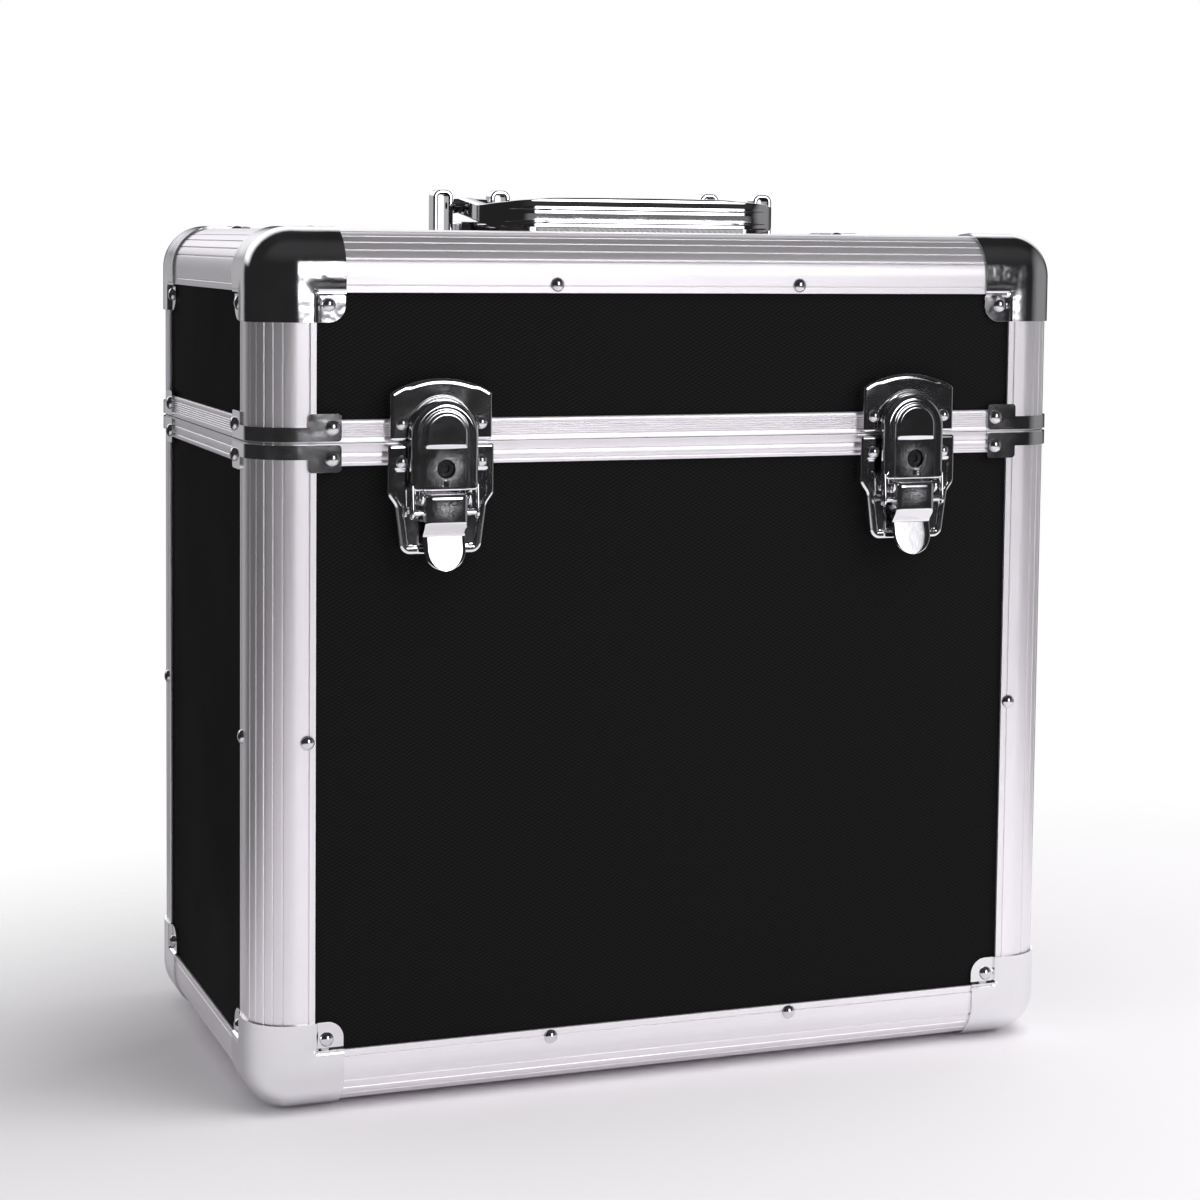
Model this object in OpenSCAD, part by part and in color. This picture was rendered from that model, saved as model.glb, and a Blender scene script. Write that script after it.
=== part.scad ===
// Record carrying case for 12-inch records, in millimetres.
// Laminated plywood panels are held in rounded, grooved aluminium angles, with pressed
// steel ball corners riveted over every vertex.  A tongued rim and a grooved rim meet at
// the seam, the lid turns on two butt hinges at the back, two toggle latches with lock
// cores close the front, and a folding bail handle lies on the lid.
// Faces are measured on the outside of the aluminium, which the corner caps overlap.

/* [Case] */
// Width over the aluminium angles
case_w = 365; // [330:1:420]
// Depth over the aluminium angles
case_d = 198; // [150:1:300]
// Height of the base, from its bottom face to the seam
base_h = 275; // [220:1:320]
// Height of the lid, from the seam to its top face
lid_h = 86; // [75:1:120]
// Gap between the two rims when the lid is shut
seam_gap = 0.4; // [0.2:0.1:1]

/* [Panels and lining] */
// Thickness of the laminated plywood
panel_t = 5; // [3:0.5:7]
// Thickness of the foam lining
lining_t = 2.5; // [1:0.5:5]
// Distance that the lining stops short of the seam
lining_drop = 5; // [3:0.5:12]
// Clearance where one piece slides into another
fit = 0.1; // [0.05:0.05:0.3]

/* [Corner angle] */
// Outer radius of the rounded edge
edge_r = 18; // [14:0.5:22]
// Width of each leg, from the outer face of the other
edge_leg = 25.5; // [24:0.5:30]
// Thickness of the outer skin
edge_t = 1.4; // [1:0.1:2]
// Thickness of the inner angle
inner_t = 1.2; // [0.8:0.1:2]
// Number of grooves along the rounded edge
groove_n = 4; // [2:1:6]
// Angle between neighbouring grooves
groove_step = 14; // [8:1:18]
// Depth of every groove
groove_d = 0.35; // [0.2:0.05:0.6]
// Distance of the edge groove from the end of the leg
edge_line = 2.5; // [1.5:0.1:4]

/* [Seam rims] */
// Height of the outer flange of each rim
rim_h = 9.2; // [8:0.1:14]
// Height of the inner lip of each rim
rim_lip_h = 10; // [8:0.5:16]
// Thickness of the web behind the seam
rim_web = 1.8; // [1.2:0.1:3]
// Height of the tongue on the base rim
tongue_h = 3; // [1.5:0.1:3.5]
// Thickness of the tongue
tongue_t = 1.8; // [1.2:0.1:2.2]
// Clearance beside the tongue on its outer side and over it
tongue_gap = 0.4; // [0.3:0.1:0.6]
// Clearance beside the tongue on its inner side, where the lid swings past it
swing_gap = 1; // [0.8:0.1:1.4]
// Pitch of the fine lines on the lid rim
rim_line_step = 0.9; // [0.7:0.1:1.2]
// Pitch of the two grooves on the base rim
rim_groove_step = 3.6; // [2.5:0.1:4]

/* [Ball corners] */
// Reach of a corner cap along each edge
cap_leg = 37.5; // [34:0.5:48]
// Sheet thickness of a corner cap
cap_t = 1; // [0.8:0.1:1.6]
// Radius of the rounded ear of a cap
cap_ear_r = 7; // [4:0.5:8]
// Distance of a cap's rivets from both faces
cap_rivet = 30.3; // [29.5:0.1:33]
// Length of the slot beside each ear
cap_slot_l = 6; // [4:0.5:8]
// Width of that slot
cap_slot_w = 1.4; // [1:0.1:2]

/* [Seam straps] */
// Sheet thickness of a strap
strap_t = 1; // [0.6:0.1:1.6]
// Height of the band around the post
strap_band_h = 5.8; // [4:0.1:8]
// Height of the ears
strap_ear_h = 11.2; // [10:0.1:14]
// Distance from the outer face to where an ear starts
strap_start = 21.8; // [19:0.1:24]
// Distance from the outer face to the end of an ear
strap_reach = 35.6; // [34:0.1:40]
// Corner radius of the ears
strap_r = 1.6; // [0.8:0.1:2.5]
// Height of the gap between a strap and the seam plane
strap_gap = 0.7; // [0.4:0.1:1.2]

/* [Rivets] */
// Radius of a domed rivet head
rivet_r = 3; // [2.4:0.1:3.2]
// Height of the head
rivet_h = 1.9; // [1:0.1:2.2]
// Height of the flat heads under the case, which stay clear of the floor
floor_rivet_h = 1.2; // [0.8:0.1:1.3]
// Distance of the rail rivets from the middle
rail_rivet_x = 55; // [30:1:100]
// Distance of rivets in the angle legs from the outer face
leg_rivet = 22; // [21:0.1:22.4]
// Height of the rivets in the middle of the posts
post_rivet_z = 153.5; // [100:1:200]
// Distance of a strap's rivet from the outer face
strap_rivet = 31.8; // [29.5:0.1:32.4]
// Distance of a strap's rivet from the seam
strap_rivet_z = 6.3; // [5.2:0.1:8]

/* [Latches] */
// Distance of each latch from the case's end face
latch_inset = 76.5; // [60:0.5:110]
// Width of the base plate
plate_w = 45.2; // [42:0.1:54]
// Width of the keeper plate over it
keeper_w = 43.4; // [40:0.1:50]
// Height of the raised face of the plates over the aluminium
plate_rise = 4.8; // [3.5:0.1:5]
// Sheet thickness of the latch parts
sheet_t = 1; // [0.8:0.1:1.2]
// Height of the keeper plate over the seam, at its middle
keeper_top = 26.4; // [24:0.1:30]
// Height of its shoulders over the seam
keeper_shoulder = 20.2; // [17:0.1:23]
// Radius of its arched top edge
keeper_arch = 42; // [36:1:60]
// Length of the base plate below the seam
plate_drop = 45.8; // [44:0.1:50]
// Where the base plate starts to narrow, below the seam
waist_from = 20.4; // [18:0.1:24]
// Where the quick narrowing ends
waist_to = 27; // [25:0.5:34]
// Width of the plate there
waist_w = 38.8; // [38:0.2:42]
// Width of its foot
foot_w = 34; // [32:0.2:37]
// Corner radius of its foot
foot_r = 4.6; // [3:0.1:8]
// Radius of the keeper's stepped boss
boss_r = 13.8; // [13:0.1:14.1]
// Height of the boss's centre over the seam
boss_z = 5.4; // [4:0.1:7]
// Rise of each of its three steps
boss_step = 0.8; // [0.4:0.1:0.9]
// Distance of the plate rivets from the middle of a latch
latch_rivet_x = 16.8; // [16.6:0.1:18]
// Distance of the plate rivets from the seam
latch_rivet_z = 7.8; // [7:0.1:10]
// Radius of these smaller rivet heads
latch_rivet_r = 2.6; // [2:0.1:2.7]
// Width of the hood
hood_w = 28.6; // [27:0.1:30]
// Height of the hood's arched top over the seam
hood_top = 17.2; // [16:0.1:19]
// Depth of the hood's face over the plates
hood_rise = 6; // [5.4:0.1:6.4]
// Rise of the hood's middle panel
hood_panel = 0.8; // [0.4:0.1:1]
// Half the width of that panel
hood_panel_x = 9.6; // [8.5:0.1:10]
// Gap between the hood and what is behind it or below it
latch_gap = 0.5; // [0.3:0.1:0.7]
// Depth of the lever's pivot pin below the seam
pivot_z = 22.3; // [21.5:0.1:24]
// Distance of the pivot pin over the aluminium
pivot_y = 9.3; // [9:0.1:9.5]
// Distance from the lever's pivot to the hood's pivot
throw_r = 6; // [5.6:0.1:6.4]
// Radius of the latch pins
pin_r = 1.2; // [1:0.1:1.3]
// Radial clearance of pins in their holes
pin_fit = 0.05; // [0.03:0.01:0.09]
// Width of the lever
lever_w = 17.8; // [16:0.1:18]
// Length of the lever's flat, below its top edge
lever_flat = 12.7; // [12:0.1:16]
// Length of the bent band below the flat
lever_band = 5.3; // [4:0.1:7]
// Length of the tongue
lever_tongue = 14.2; // [12:0.1:18]
// How far the band bends in under the flat
lever_dip = 4.4; // [3:0.1:4.8]
// How far the tongue's end stays behind the flat
lever_flare = 1; // [0.5:0.1:3]
// Radius of the base plate's two ears round the pivot pin
latch_ear_r = 3; // [2.8:0.1:3.1]
// Thickness of those ears
latch_ear_t = 1.2; // [1:0.1:1.4]
// Radius of the lock core
core_r = 3.7; // [3:0.1:4]
// Depth of the lock core's middle below the seam
core_z = 10.4; // [9.5:0.1:12]
// How far the lock core's face lies behind the hood's panel
core_sink = 1.2; // [0.5:0.1:1.5]
// Width of the small slot below the lock core
key_slot_w = 2; // [1:0.1:3]
// Height of that slot
key_slot_h = 2.4; // [1.5:0.1:3]
// Depth of the slot's lower end below the core
key_slot_drop = 3.3; // [3:0.1:4.5]
// Width of the lock's cam
cam_w = 4; // [3:0.1:5]
// Reach of the cam beyond the core
cam_reach = 2; // [1:0.1:3]
// Width of the keyhole's slit
key_w = 1.2; // [0.8:0.1:1.6]

/* [Hinges] */
// Distance of each hinge's middle from the case's end face
hinge_inset = 77.5; // [60:0.5:110]
// Length of a hinge
hinge_l = 50; // [40:1:70]
// Reach of each leaf from the seam
hinge_leaf = 24; // [20:0.5:30]
// Thickness of a leaf
hinge_t = 1.2; // [1:0.1:1.6]
// Outer radius of the knuckles
knuckle_r = 3; // [2.6:0.1:3.1]
// Radius of the hinge pin
hinge_pin_r = 1.5; // [1.2:0.1:1.8]
// Number of knuckles
knuckle_n = 5; // [3:2:7]
// Distance of the leaves' rivets from their ends
hinge_rivet_x = 6; // [5:0.5:9]
// Distance of the near rivets from the seam
hinge_rivet_near = 6; // [5.8:0.1:8]
// Distance of the far rivets from the seam
hinge_rivet_far = 19; // [15:0.5:21]

/* [Handle] */
// Distance of the handle's axis in front of the lid's middle line
handle_y = 5.5; // [0:0.5:12]
// Height of the handle's axis over the lid
handle_z = 11; // [10.5:0.1:14]
// Middle of the outer brackets
bracket_x = 77; // [74:0.1:84]
// Distance between an outer and an inner bracket
bracket_step = 26.5; // [24:0.1:30]
// Outer width of a bracket
bracket_w = 9; // [8:0.1:13]
// Thickness of the bracket strip
bracket_t = 2; // [1.6:0.1:3]
// Width of the bracket strip
bracket_l = 8; // [7:0.5:14]
// Height of the brackets over the lid
bracket_h = 18; // [17.5:0.1:22]
// Half length of the raised tray between the brackets
tray_x = 71; // [64:0.5:71.2]
// Width of the tray
tray_d = 27; // [20:0.5:30]
// Height of the tray
tray_h = 4; // [2:0.1:5]
// Corner radius of the tray
tray_r = 4; // [3:0.5:8]
// Sheet thickness of the tray and its flange
tray_t = 1.2; // [1:0.1:1.6]
// Width of the riveted flange on either side of the tray
tray_flange = 10; // [9:0.5:12]
// How far the flange stops short of the tray's ends
tray_flange_end = 8; // [4:0.5:12]
// Distance of the flange's rivets from the middle
tray_rivet_x = 50; // [40:1:54]
// Half length of the grip's straight part
grip_x = 48; // [40:0.5:50]
// Distance from the handle's axis to the front of the grip
bail_reach = 48; // [46:0.5:60]
// Outer radius of the bail's bends
bail_r = 21; // [17:0.5:21]
// Thickness of the bail
bail_t = 7; // [5:0.1:8]
// Height of the grip
grip_h = 15.8; // [12:0.1:17]
// Size of the slope along the grip's top front edge
grip_round = 2; // [1:0.1:3]
// Height of the arms' lower edge over the lid, where the bends start
arm_low = 4; // [3:0.1:6]
// Height of the arms' upper edge there
arm_high = 11; // [9:0.1:14]
// Height of the strip that shows along the grip's underside
strip_h = 2.4; // [2:0.1:4]
// Depth of the strip's tongue in the grip's channel
strip_tongue = 5; // [3:0.1:7]
// Thickness of the grip's walls beside that channel
grip_wall = 1.5; // [1:0.1:2]
// Radius of the two long grooves along the grip
grip_groove_r = 0.5; // [0.3:0.1:1]
// Height of the lower groove over the grip's lower edge
grip_groove_low = 4.2; // [3.6:0.1:5]
// Height of the upper groove
grip_groove_high = 10.3; // [9:0.1:11]
// Height of the hollow band between them
grip_band_z = 7.2; // [6.5:0.1:8]
// Radius of that band
grip_band_r = 2; // [1.5:0.1:4]
// Depth of the band
grip_band_d = 0.6; // [0.3:0.1:0.9]
// Radius of the bail's hubs
hub_r = 3.4; // [3:0.1:4.8]
// Radius of the bail's trunnions
trunnion_r = 2; // [1.6:0.1:2.4]

/* [Hidden] */
$fn = 48;

aluminium = "#c9c9cf";
laminate = "#1b1b1b";
chrome = "#dfe0e6";
foam = "#26262a";
padding = "#8d8d94";
over = 1;          // how far a cutter runs past what it cuts
front = -1;
back = 1;
left = -1;
right = 1;

case_h = base_h + lid_h;
half_w = case_w / 2;
half_d = case_d / 2;
latch_x = half_w - latch_inset;
hinge_x = half_w - hinge_inset;
slot_in = edge_t + panel_t + fit;          // depth of the inner angle behind the panel
lining_in = slot_in + inner_t;             // depth of the lining's outer side
rail_cut = edge_leg + fit;                 // the angles stop here, clear of each other
base_top = base_h - seam_gap / 2;
lid_bottom = base_h + seam_gap / 2;
lid_web = tongue_h + tongue_gap + rim_web; // the lid's web holds the groove
tongue_u = edge_t + panel_t / 2 - tongue_t / 2;

hinge_axis = knuckle_r + 0.2;              // distance of the hinge pin behind the back face
hinge_back = hinge_axis + knuckle_r;
hinge_clear = 0.3;
lever_y = pivot_y + 3.7;                   // face of the lever over the aluminium
shell_y = (lever_y - hinge_back) / 2;      // centres the whole object front to back
line_d = 0.2;                              // depth of the fine lines on the lid rim
pin_end = 0.5;                             // how far a pin stands out at either end
keeper_chamfer = 2.4;                      // how fast the keeper's corner cut moves in
boss_n = 3;                                // steps of the keeper's boss

pan_bevel = sheet_t / 2;                   // step along the pans' pressed edges
hood_y = plate_rise + hood_rise;
boss_y = plate_rise + boss_n * boss_step;
core_face = hood_y + hood_panel - core_sink;
key_depth = 0.7;                           // depth of the keyhole in the core
hood_bevel = 0.6;                          // step along the hood's rounded edge
hood_arch = hood_top - hood_w / 2;         // height of the hood's arch centre
lever_nose = 2.5;                          // how far the lever reaches over its pivot
hood_back = boss_y + latch_gap;
hood_bottom = pivot_z - lever_nose - latch_gap;
link_z = pivot_z + throw_r;
lever_top = pivot_z - lever_nose;
cheek_r = latch_ear_r - 0.5;               // eyes of the lever and the hood
ear_in = lever_w / 2 + latch_gap;
ear_out = ear_in + latch_ear_t;

grip_front = -handle_y - bail_reach;
bail_rest = -0.8;                          // the grip hangs just over the laminate
hub_gap = 0.7;                             // play of the hubs between the brackets
hub_in = bracket_x - bracket_step + bracket_w / 2 + hub_gap;
hub_out = bracket_x - bracket_w / 2 - hub_gap;
bracket_bend = 1.3 * bracket_t;            // outer radius of the brackets' bends
trunnion_l = hub_out - hub_in + 2 * (bracket_t + hub_gap);
arm_x = grip_x + bail_r;
tray_rivet_y = (tray_d + tray_flange) / 2;
knuckle_l = hinge_l / knuckle_n;
base_wall_top = base_top - rim_web;
lid_wall_bottom = lid_bottom + lid_web;
lid_wall_top = case_h - edge_r;

// ---------- placing ----------

// Moves from the aluminium shell's own frame, with its bottom face at zero, to the
// object's frame, whose origin is under the middle of the whole object.
module in_case() {
  translate([0, shell_y, cap_t]) children();
}

// Children are drawn for the front left corner at the origin and go to another corner.
module at_corner(side, end) {
  mirror([side == right ? 1 : 0, 0, 0])
    mirror([0, end == back ? 1 : 0, 0])
      translate([-half_w, -half_d, 0]) children();
}

// Children are drawn for the base and are turned over for the lid.
module turned_over() {
  translate([0, 0, case_h]) mirror([0, 0, 1]) children();
}

// Children have x along the face, y up and z out of the front face.
module on_front(x, z) {
  translate([x, -half_d, z]) rotate([90, 0, 0]) children();
}

module on_back(x, z) {
  mirror([0, 1, 0]) on_front(x, z) children();
}

// Children have x along the depth, y up and z out of a side face.
module on_side(side, y, z) {
  mirror([side == right ? 1 : 0, 0, 0])
    translate([-half_w, y, z]) rotate([90, 0, -90]) children();
}

// ---------- aluminium angles ----------

module corner_sheet(leg, radius) {
  intersection() {
    square(leg);
    union() {
      translate([radius, radius]) circle(radius);
      translate([radius, 0]) square(leg);
      translate([0, radius]) square(leg);
    }
  }
}

module groove_cut(depth) {
  rotate(45) square(depth * sqrt(2), center = true);
}

// Section of the rounded angle, with its outer corner at the origin: a grooved outer
// skin, an inner angle behind the panels, and a web on the diagonal between them.
module angle_section() {
  arc_mid = edge_r - (edge_r - edge_t / 2) / sqrt(2);
  web_l = (slot_in + inner_t / 2 - arc_mid) * sqrt(2);
  difference() {
    union() {
      difference() {
        corner_sheet(edge_leg, edge_r);
        translate([edge_t, edge_t]) corner_sheet(edge_leg, edge_r - edge_t);
      }
      translate([slot_in, slot_in]) difference() {
        square(edge_leg - slot_in);
        translate([inner_t, inner_t]) square(edge_leg);
      }
      translate([arc_mid, arc_mid]) rotate(45)
        translate([0, -inner_t / 2]) square([web_l, inner_t]);
    }
    for (i = [0 : groove_n - 1])
      translate([edge_r, edge_r]) rotate(225 + (i - (groove_n - 1) / 2) * groove_step)
        translate([edge_r, 0]) groove_cut(groove_d);
    for (u = [edge_r, edge_leg - edge_line]) {
      translate([u, 0]) groove_cut(groove_d);
      translate([0, u]) groove_cut(groove_d);
    }
  }
}

module post(side, end, from, to) {
  color(aluminium) in_case() at_corner(side, end)
    translate([0, 0, from]) linear_extrude(to - from) angle_section();
}

module rail_along_x(end) {
  color(aluminium) mirror([0, end == back ? 1 : 0, 0])
    translate([-half_w + rail_cut, -half_d, 0]) rotate([90, 0, 90])
      linear_extrude(case_w - 2 * rail_cut) angle_section();
}

module rail_along_y(side) {
  color(aluminium) mirror([side == right ? 1 : 0, 0, 0])
    translate([-half_w, half_d - rail_cut, 0]) rotate([90, 0, 0])
      linear_extrude(case_d - 2 * rail_cut) angle_section();
}

// ---------- rims at the seam ----------

// Sections have x into the case and y away from the seam.
module rim_section(web) {
  square([edge_t, rim_h]);
  square([lining_in, web]);
  translate([slot_in, 0]) square([inner_t, rim_lip_h]);
}

module base_rim_section() {
  difference() {
    union() {
      rim_section(rim_web);
      translate([tongue_u, -tongue_h]) square([tongue_t, tongue_h + rim_web]);
    }
    for (i = [1, 2]) translate([0, i * rim_groove_step]) groove_cut(groove_d);
  }
}

module lid_rim_section() {
  difference() {
    rim_section(lid_web);
    translate([tongue_u - tongue_gap, -over])
      square([tongue_t + tongue_gap + swing_gap, over + tongue_h + tongue_gap]);
    for (i = [-2.5 : 2.5])
      translate([0, rim_h / 2 + i * rim_line_step]) groove_cut(line_d);
  }
}

// Four straight bars that end against the legs of the posts.
module rim_bars() {
  for (end = [0, 1]) {
    mirror([0, end, 0]) translate([-half_w + rail_cut, -half_d, 0]) rotate([90, 0, 90])
      linear_extrude(case_w - 2 * rail_cut) children();
    mirror([end, 0, 0]) translate([-half_w, half_d - rail_cut, 0]) rotate([90, 0, 0])
      linear_extrude(case_d - 2 * rail_cut) children();
  }
}

module base_rim() {
  color(aluminium) in_case() translate([0, 0, base_top]) mirror([0, 0, 1])
    rim_bars() base_rim_section();
}

module lid_rim() {
  color(aluminium) in_case() translate([0, 0, lid_bottom]) rim_bars() lid_rim_section();
}

// ---------- panels and linings ----------

module wall_along_x(end, from, to) {
  color(laminate) in_case() mirror([0, end == back ? 1 : 0, 0])
    translate([-half_w + edge_r, -half_d + edge_t, from])
      cube([case_w - 2 * edge_r, panel_t, to - from]);
}

module wall_along_y(side, from, to) {
  color(laminate) in_case() mirror([side == right ? 1 : 0, 0, 0])
    translate([-half_w + edge_t, -half_d + edge_r, from])
      cube([panel_t, case_d - 2 * edge_r, to - from]);
}

module floor_sheet() {
  translate([-half_w + edge_r, -half_d + edge_r, edge_t])
    cube([case_w - 2 * edge_r, case_d - 2 * edge_r, panel_t]);
}

module bottom_panel() {
  color(laminate) in_case() floor_sheet();
}

module top_panel() {
  color(laminate) in_case() turned_over() floor_sheet();
}

// A lining covers the panels and the inner angles on all sides and is open at the seam.
module lining_tray(depth) {
  color(foam) difference() {
    translate([-half_w + lining_in, -half_d + lining_in, lining_in])
      cube([case_w - 2 * lining_in, case_d - 2 * lining_in, depth - lining_in]);
    translate([-half_w + lining_in + lining_t, -half_d + lining_in + lining_t, lining_in + lining_t])
      cube([case_w - 2 * (lining_in + lining_t), case_d - 2 * (lining_in + lining_t), depth]);
  }
}

module base_lining() {
  in_case() lining_tray(base_h - lining_drop);
}

module lid_lining() {
  in_case() turned_over() lining_tray(lid_h - lining_drop);
}

// ---------- ball corners ----------

// A solid corner, rounded along its three edges, with its faces on the three planes.
module ball_corner(radius, reach) {
  flat = reach - radius;
  translate([radius, radius, radius]) sphere(radius);
  translate([radius, radius, radius]) cylinder(r = radius, h = flat);
  translate([radius, radius, radius]) rotate([0, 90, 0]) cylinder(r = radius, h = flat);
  translate([radius, radius, radius]) rotate([-90, 0, 0]) cylinder(r = radius, h = flat);
  translate([radius, radius, 0]) cube([flat, flat, reach]);
  translate([radius, 0, radius]) cube([flat, reach, flat]);
  translate([0, radius, radius]) cube([reach, flat, flat]);
}

// Takes the faces down to the panels, beyond the legs of the angles.
module panel_steps(start, depth, reach) {
  translate([start, start, -over]) cube([reach, reach, over + depth]);
  translate([start, -over, start]) cube([reach, over + depth, reach]);
  translate([-over, start, start]) cube([over + depth, reach, reach]);
}

module cap_footprint() {
  flat = cap_leg - cap_ear_r;
  translate([flat, flat]) circle(cap_ear_r);
  translate([-over * 2, -over * 2]) square([flat + over * 2, cap_leg + over * 2]);
  translate([-over * 2, -over * 2]) square([cap_leg + over * 2, flat + over * 2]);
}

module cap_bounds() {
  tall = cap_leg + 3 * over;
  intersection() {
    translate([0, 0, -2 * over]) linear_extrude(tall) cap_footprint();
    translate([0, tall - 2 * over, 0]) rotate([90, 0, 0]) linear_extrude(tall) cap_footprint();
    translate([-2 * over, 0, 0]) rotate([90, 0, 90]) linear_extrude(tall) cap_footprint();
  }
}

// The cap is a sheet over the angles, stepped down to the panels at its three ears.
module corner_cap() {
  reach = cap_leg + 2 * over;
  intersection() {
    difference() {
      translate([-cap_t, -cap_t, -cap_t]) difference() {
        ball_corner(edge_r + cap_t, reach + cap_t);
        panel_steps(edge_leg + 2 * cap_t, edge_t, reach);
      }
      difference() {
        ball_corner(edge_r, reach);
        panel_steps(edge_leg, edge_t, reach);
      }
      for (turn = [0, 1]) {
        mirror([turn, -turn, 0])
          translate([cap_leg - cap_slot_l, -2 * over, edge_leg])
            cube([cap_slot_l + over, edge_t + 2 * over, cap_slot_w]);
      }
    }
    cap_bounds();
  }
}

module bottom_cap(side, end) {
  color(chrome) in_case() at_corner(side, end) corner_cap();
}

module top_cap(side, end) {
  color(chrome) in_case() turned_over() at_corner(side, end) corner_cap();
}

// ---------- seam straps ----------

module strap_ear() {
  ear_l = strap_reach - strap_start;
  translate([strap_start + strap_r, strap_r]) circle(strap_r);
  translate([strap_reach - strap_r, strap_r]) circle(strap_r);
  translate([strap_start + strap_r, strap_ear_h - strap_r]) circle(strap_r);
  translate([strap_reach - strap_r, strap_ear_h - strap_r]) circle(strap_r);
  translate([strap_start + strap_r, 0]) square([ear_l - 2 * strap_r, strap_ear_h]);
  translate([strap_start, strap_r]) square([ear_l, strap_ear_h - 2 * strap_r]);
}

// Drawn upwards from the seam for the front left post.
module seam_strap() {
  linear_extrude(strap_band_h) difference() {
    translate([-strap_t, -strap_t]) corner_sheet(strap_start + strap_r + strap_t, edge_r + strap_t);
    corner_sheet(case_w, edge_r);
  }
  rotate([90, 0, 0]) linear_extrude(strap_t) strap_ear();
  mirror([1, -1, 0]) rotate([90, 0, 0]) linear_extrude(strap_t) strap_ear();
}

module seam_straps() {
  color(chrome) for (side = [left, right], end = [front, back])
    at_corner(side, end) translate([0, 0, strap_gap]) seam_strap();
}

module lid_seam_straps() {
  in_case() translate([0, 0, base_h]) seam_straps();
}

module base_seam_straps() {
  in_case() translate([0, 0, base_h]) mirror([0, 0, 1]) seam_straps();
}

// ---------- rivets ----------

// A domed head that sits on z = 0.
module rivet(radius, height = rivet_h) {
  dome = (radius * radius + height * height) / (2 * height);
  intersection() {
    translate([0, 0, height - dome]) sphere(dome);
    cylinder(r = radius, h = height);
  }
}

// Rivets at the two corners of one face that its width and half width give, measured
// from the bottom face of the base; the lid uses them turned over.
module cap_rivets(half) {
  for (s = [-1, 1])
    translate([s * (half - cap_rivet), cap_rivet, cap_t - edge_t]) rivet(rivet_r);
}

module strap_rivets(half, seam) {
  for (s = [-1, 1])
    translate([s * (half - strap_rivet), seam - strap_rivet_z, strap_t]) rivet(rivet_r);
}

module rail_rivets() {
  for (s = [-1, 1]) translate([s * rail_rivet_x, leg_rivet, 0]) rivet(rivet_r);
}

module post_rivets(half) {
  for (s = [-1, 1]) translate([s * (half - leg_rivet), post_rivet_z, 0]) rivet(rivet_r);
}

// Rivets that the base and the turned-over lid share, on five faces.
module frame_rivets(seam, flat_h) {
  on_front(0, 0) {
    cap_rivets(half_w);
    strap_rivets(half_w, seam);
    rail_rivets();
  }
  on_back(0, 0) {
    cap_rivets(half_w);
    strap_rivets(half_w, seam);
    rail_rivets();
  }
  for (side = [left, right]) on_side(side, 0, 0) {
    cap_rivets(half_d);
    strap_rivets(half_d, seam);
  }
  for (s = [-1, 1], t = [-1, 1])
    translate([s * (half_w - cap_rivet), t * (half_d - cap_rivet), edge_t - cap_t])
      rotate([180, 0, 0]) rivet(rivet_r, flat_h);
}

module latch_rivets(sign) {
  for (x = [-latch_x, latch_x], s = [-1, 1])
    on_front(x + s * latch_rivet_x, base_h + sign * latch_rivet_z)
      translate([0, 0, plate_rise]) rivet(latch_rivet_r);
}

module hinge_rivets(sign) {
  for (x = [-hinge_x, hinge_x], s = [-1, 1], z = [hinge_rivet_near, hinge_rivet_far])
    on_back(x + s * (hinge_l / 2 - hinge_rivet_x), base_h + sign * z)
      translate([0, 0, hinge_t]) rivet(latch_rivet_r);
}

module base_rivets() {
  color(chrome) in_case() {
    frame_rivets(base_h, floor_rivet_h);
    on_front(0, 0) post_rivets(half_w);
    on_back(0, 0) post_rivets(half_w);
    for (side = [left, right]) on_side(side, 0, 0) post_rivets(half_d);
    latch_rivets(-1);
    hinge_rivets(-1);
  }
}

module lid_rivets() {
  color(chrome) in_case() {
    turned_over() frame_rivets(lid_h, rivet_h);
    latch_rivets(1);
    hinge_rivets(1);
    on_lid() for (s = [-1, 1])
      for (t = [-1, 1])
        translate([s * tray_rivet_x, t * tray_rivet_y - handle_y, tray_t - edge_t])
          rivet(latch_rivet_r);
  }
}

// ---------- latches ----------
// Latch pieces are drawn with x across, y up from the seam and z out of the front face.

// Half the width of the base plate at a depth below the seam: an S curve, then a taper.
function plate_half(depth) =
  let (t = min(1, max(0, (depth - waist_from) / (waist_to - waist_from))))
  let (u = max(0, (depth - waist_to) / (plate_drop - waist_to)))
  plate_w / 2 - (plate_w - waist_w) / 2 * (1 - cos(180 * t)) / 2 - (waist_w - foot_w) / 2 * u;

module keeper_outline(inset) {
  intersection() {
    translate([inset - keeper_w / 2, strap_gap + inset])
      square([keeper_w - 2 * inset, keeper_top]);
    translate([0, keeper_top - keeper_arch]) circle(keeper_arch - inset);
    translate([0, keeper_shoulder - keeper_w / 2]) rotate(45)
      square((keeper_w - keeper_chamfer * inset) * sqrt(2), center = true);
  }
}

module plate_outline(inset) {
  steps = 8;
  depths = [strap_gap + inset,
    for (i = [0 : steps]) waist_from + (waist_to - waist_from) * i / steps];
  side = [for (d = depths) [plate_half(d) - inset, -d]];
  corner = [for (a = [0 : 15 : 90])
    [plate_half(plate_drop - foot_r) - foot_r + (foot_r - inset) * cos(a),
     foot_r - plate_drop - (foot_r - inset) * sin(a)]];
  edge = concat(side, corner);
  polygon(concat(edge, [for (i = [len(edge) - 1 : -1 : 0]) [-edge[i][0], edge[i][1]]]));
}

// A pressed pan: its rim stands on the rim of the case and on the panel behind it, and
// its edge is bevelled.
module pan_cut(sign) {
  translate([-plate_w, sign > 0 ? -over : -rim_h, -edge_t - over])
    cube([2 * plate_w, rim_h + over, edge_t + over]);
}

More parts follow.
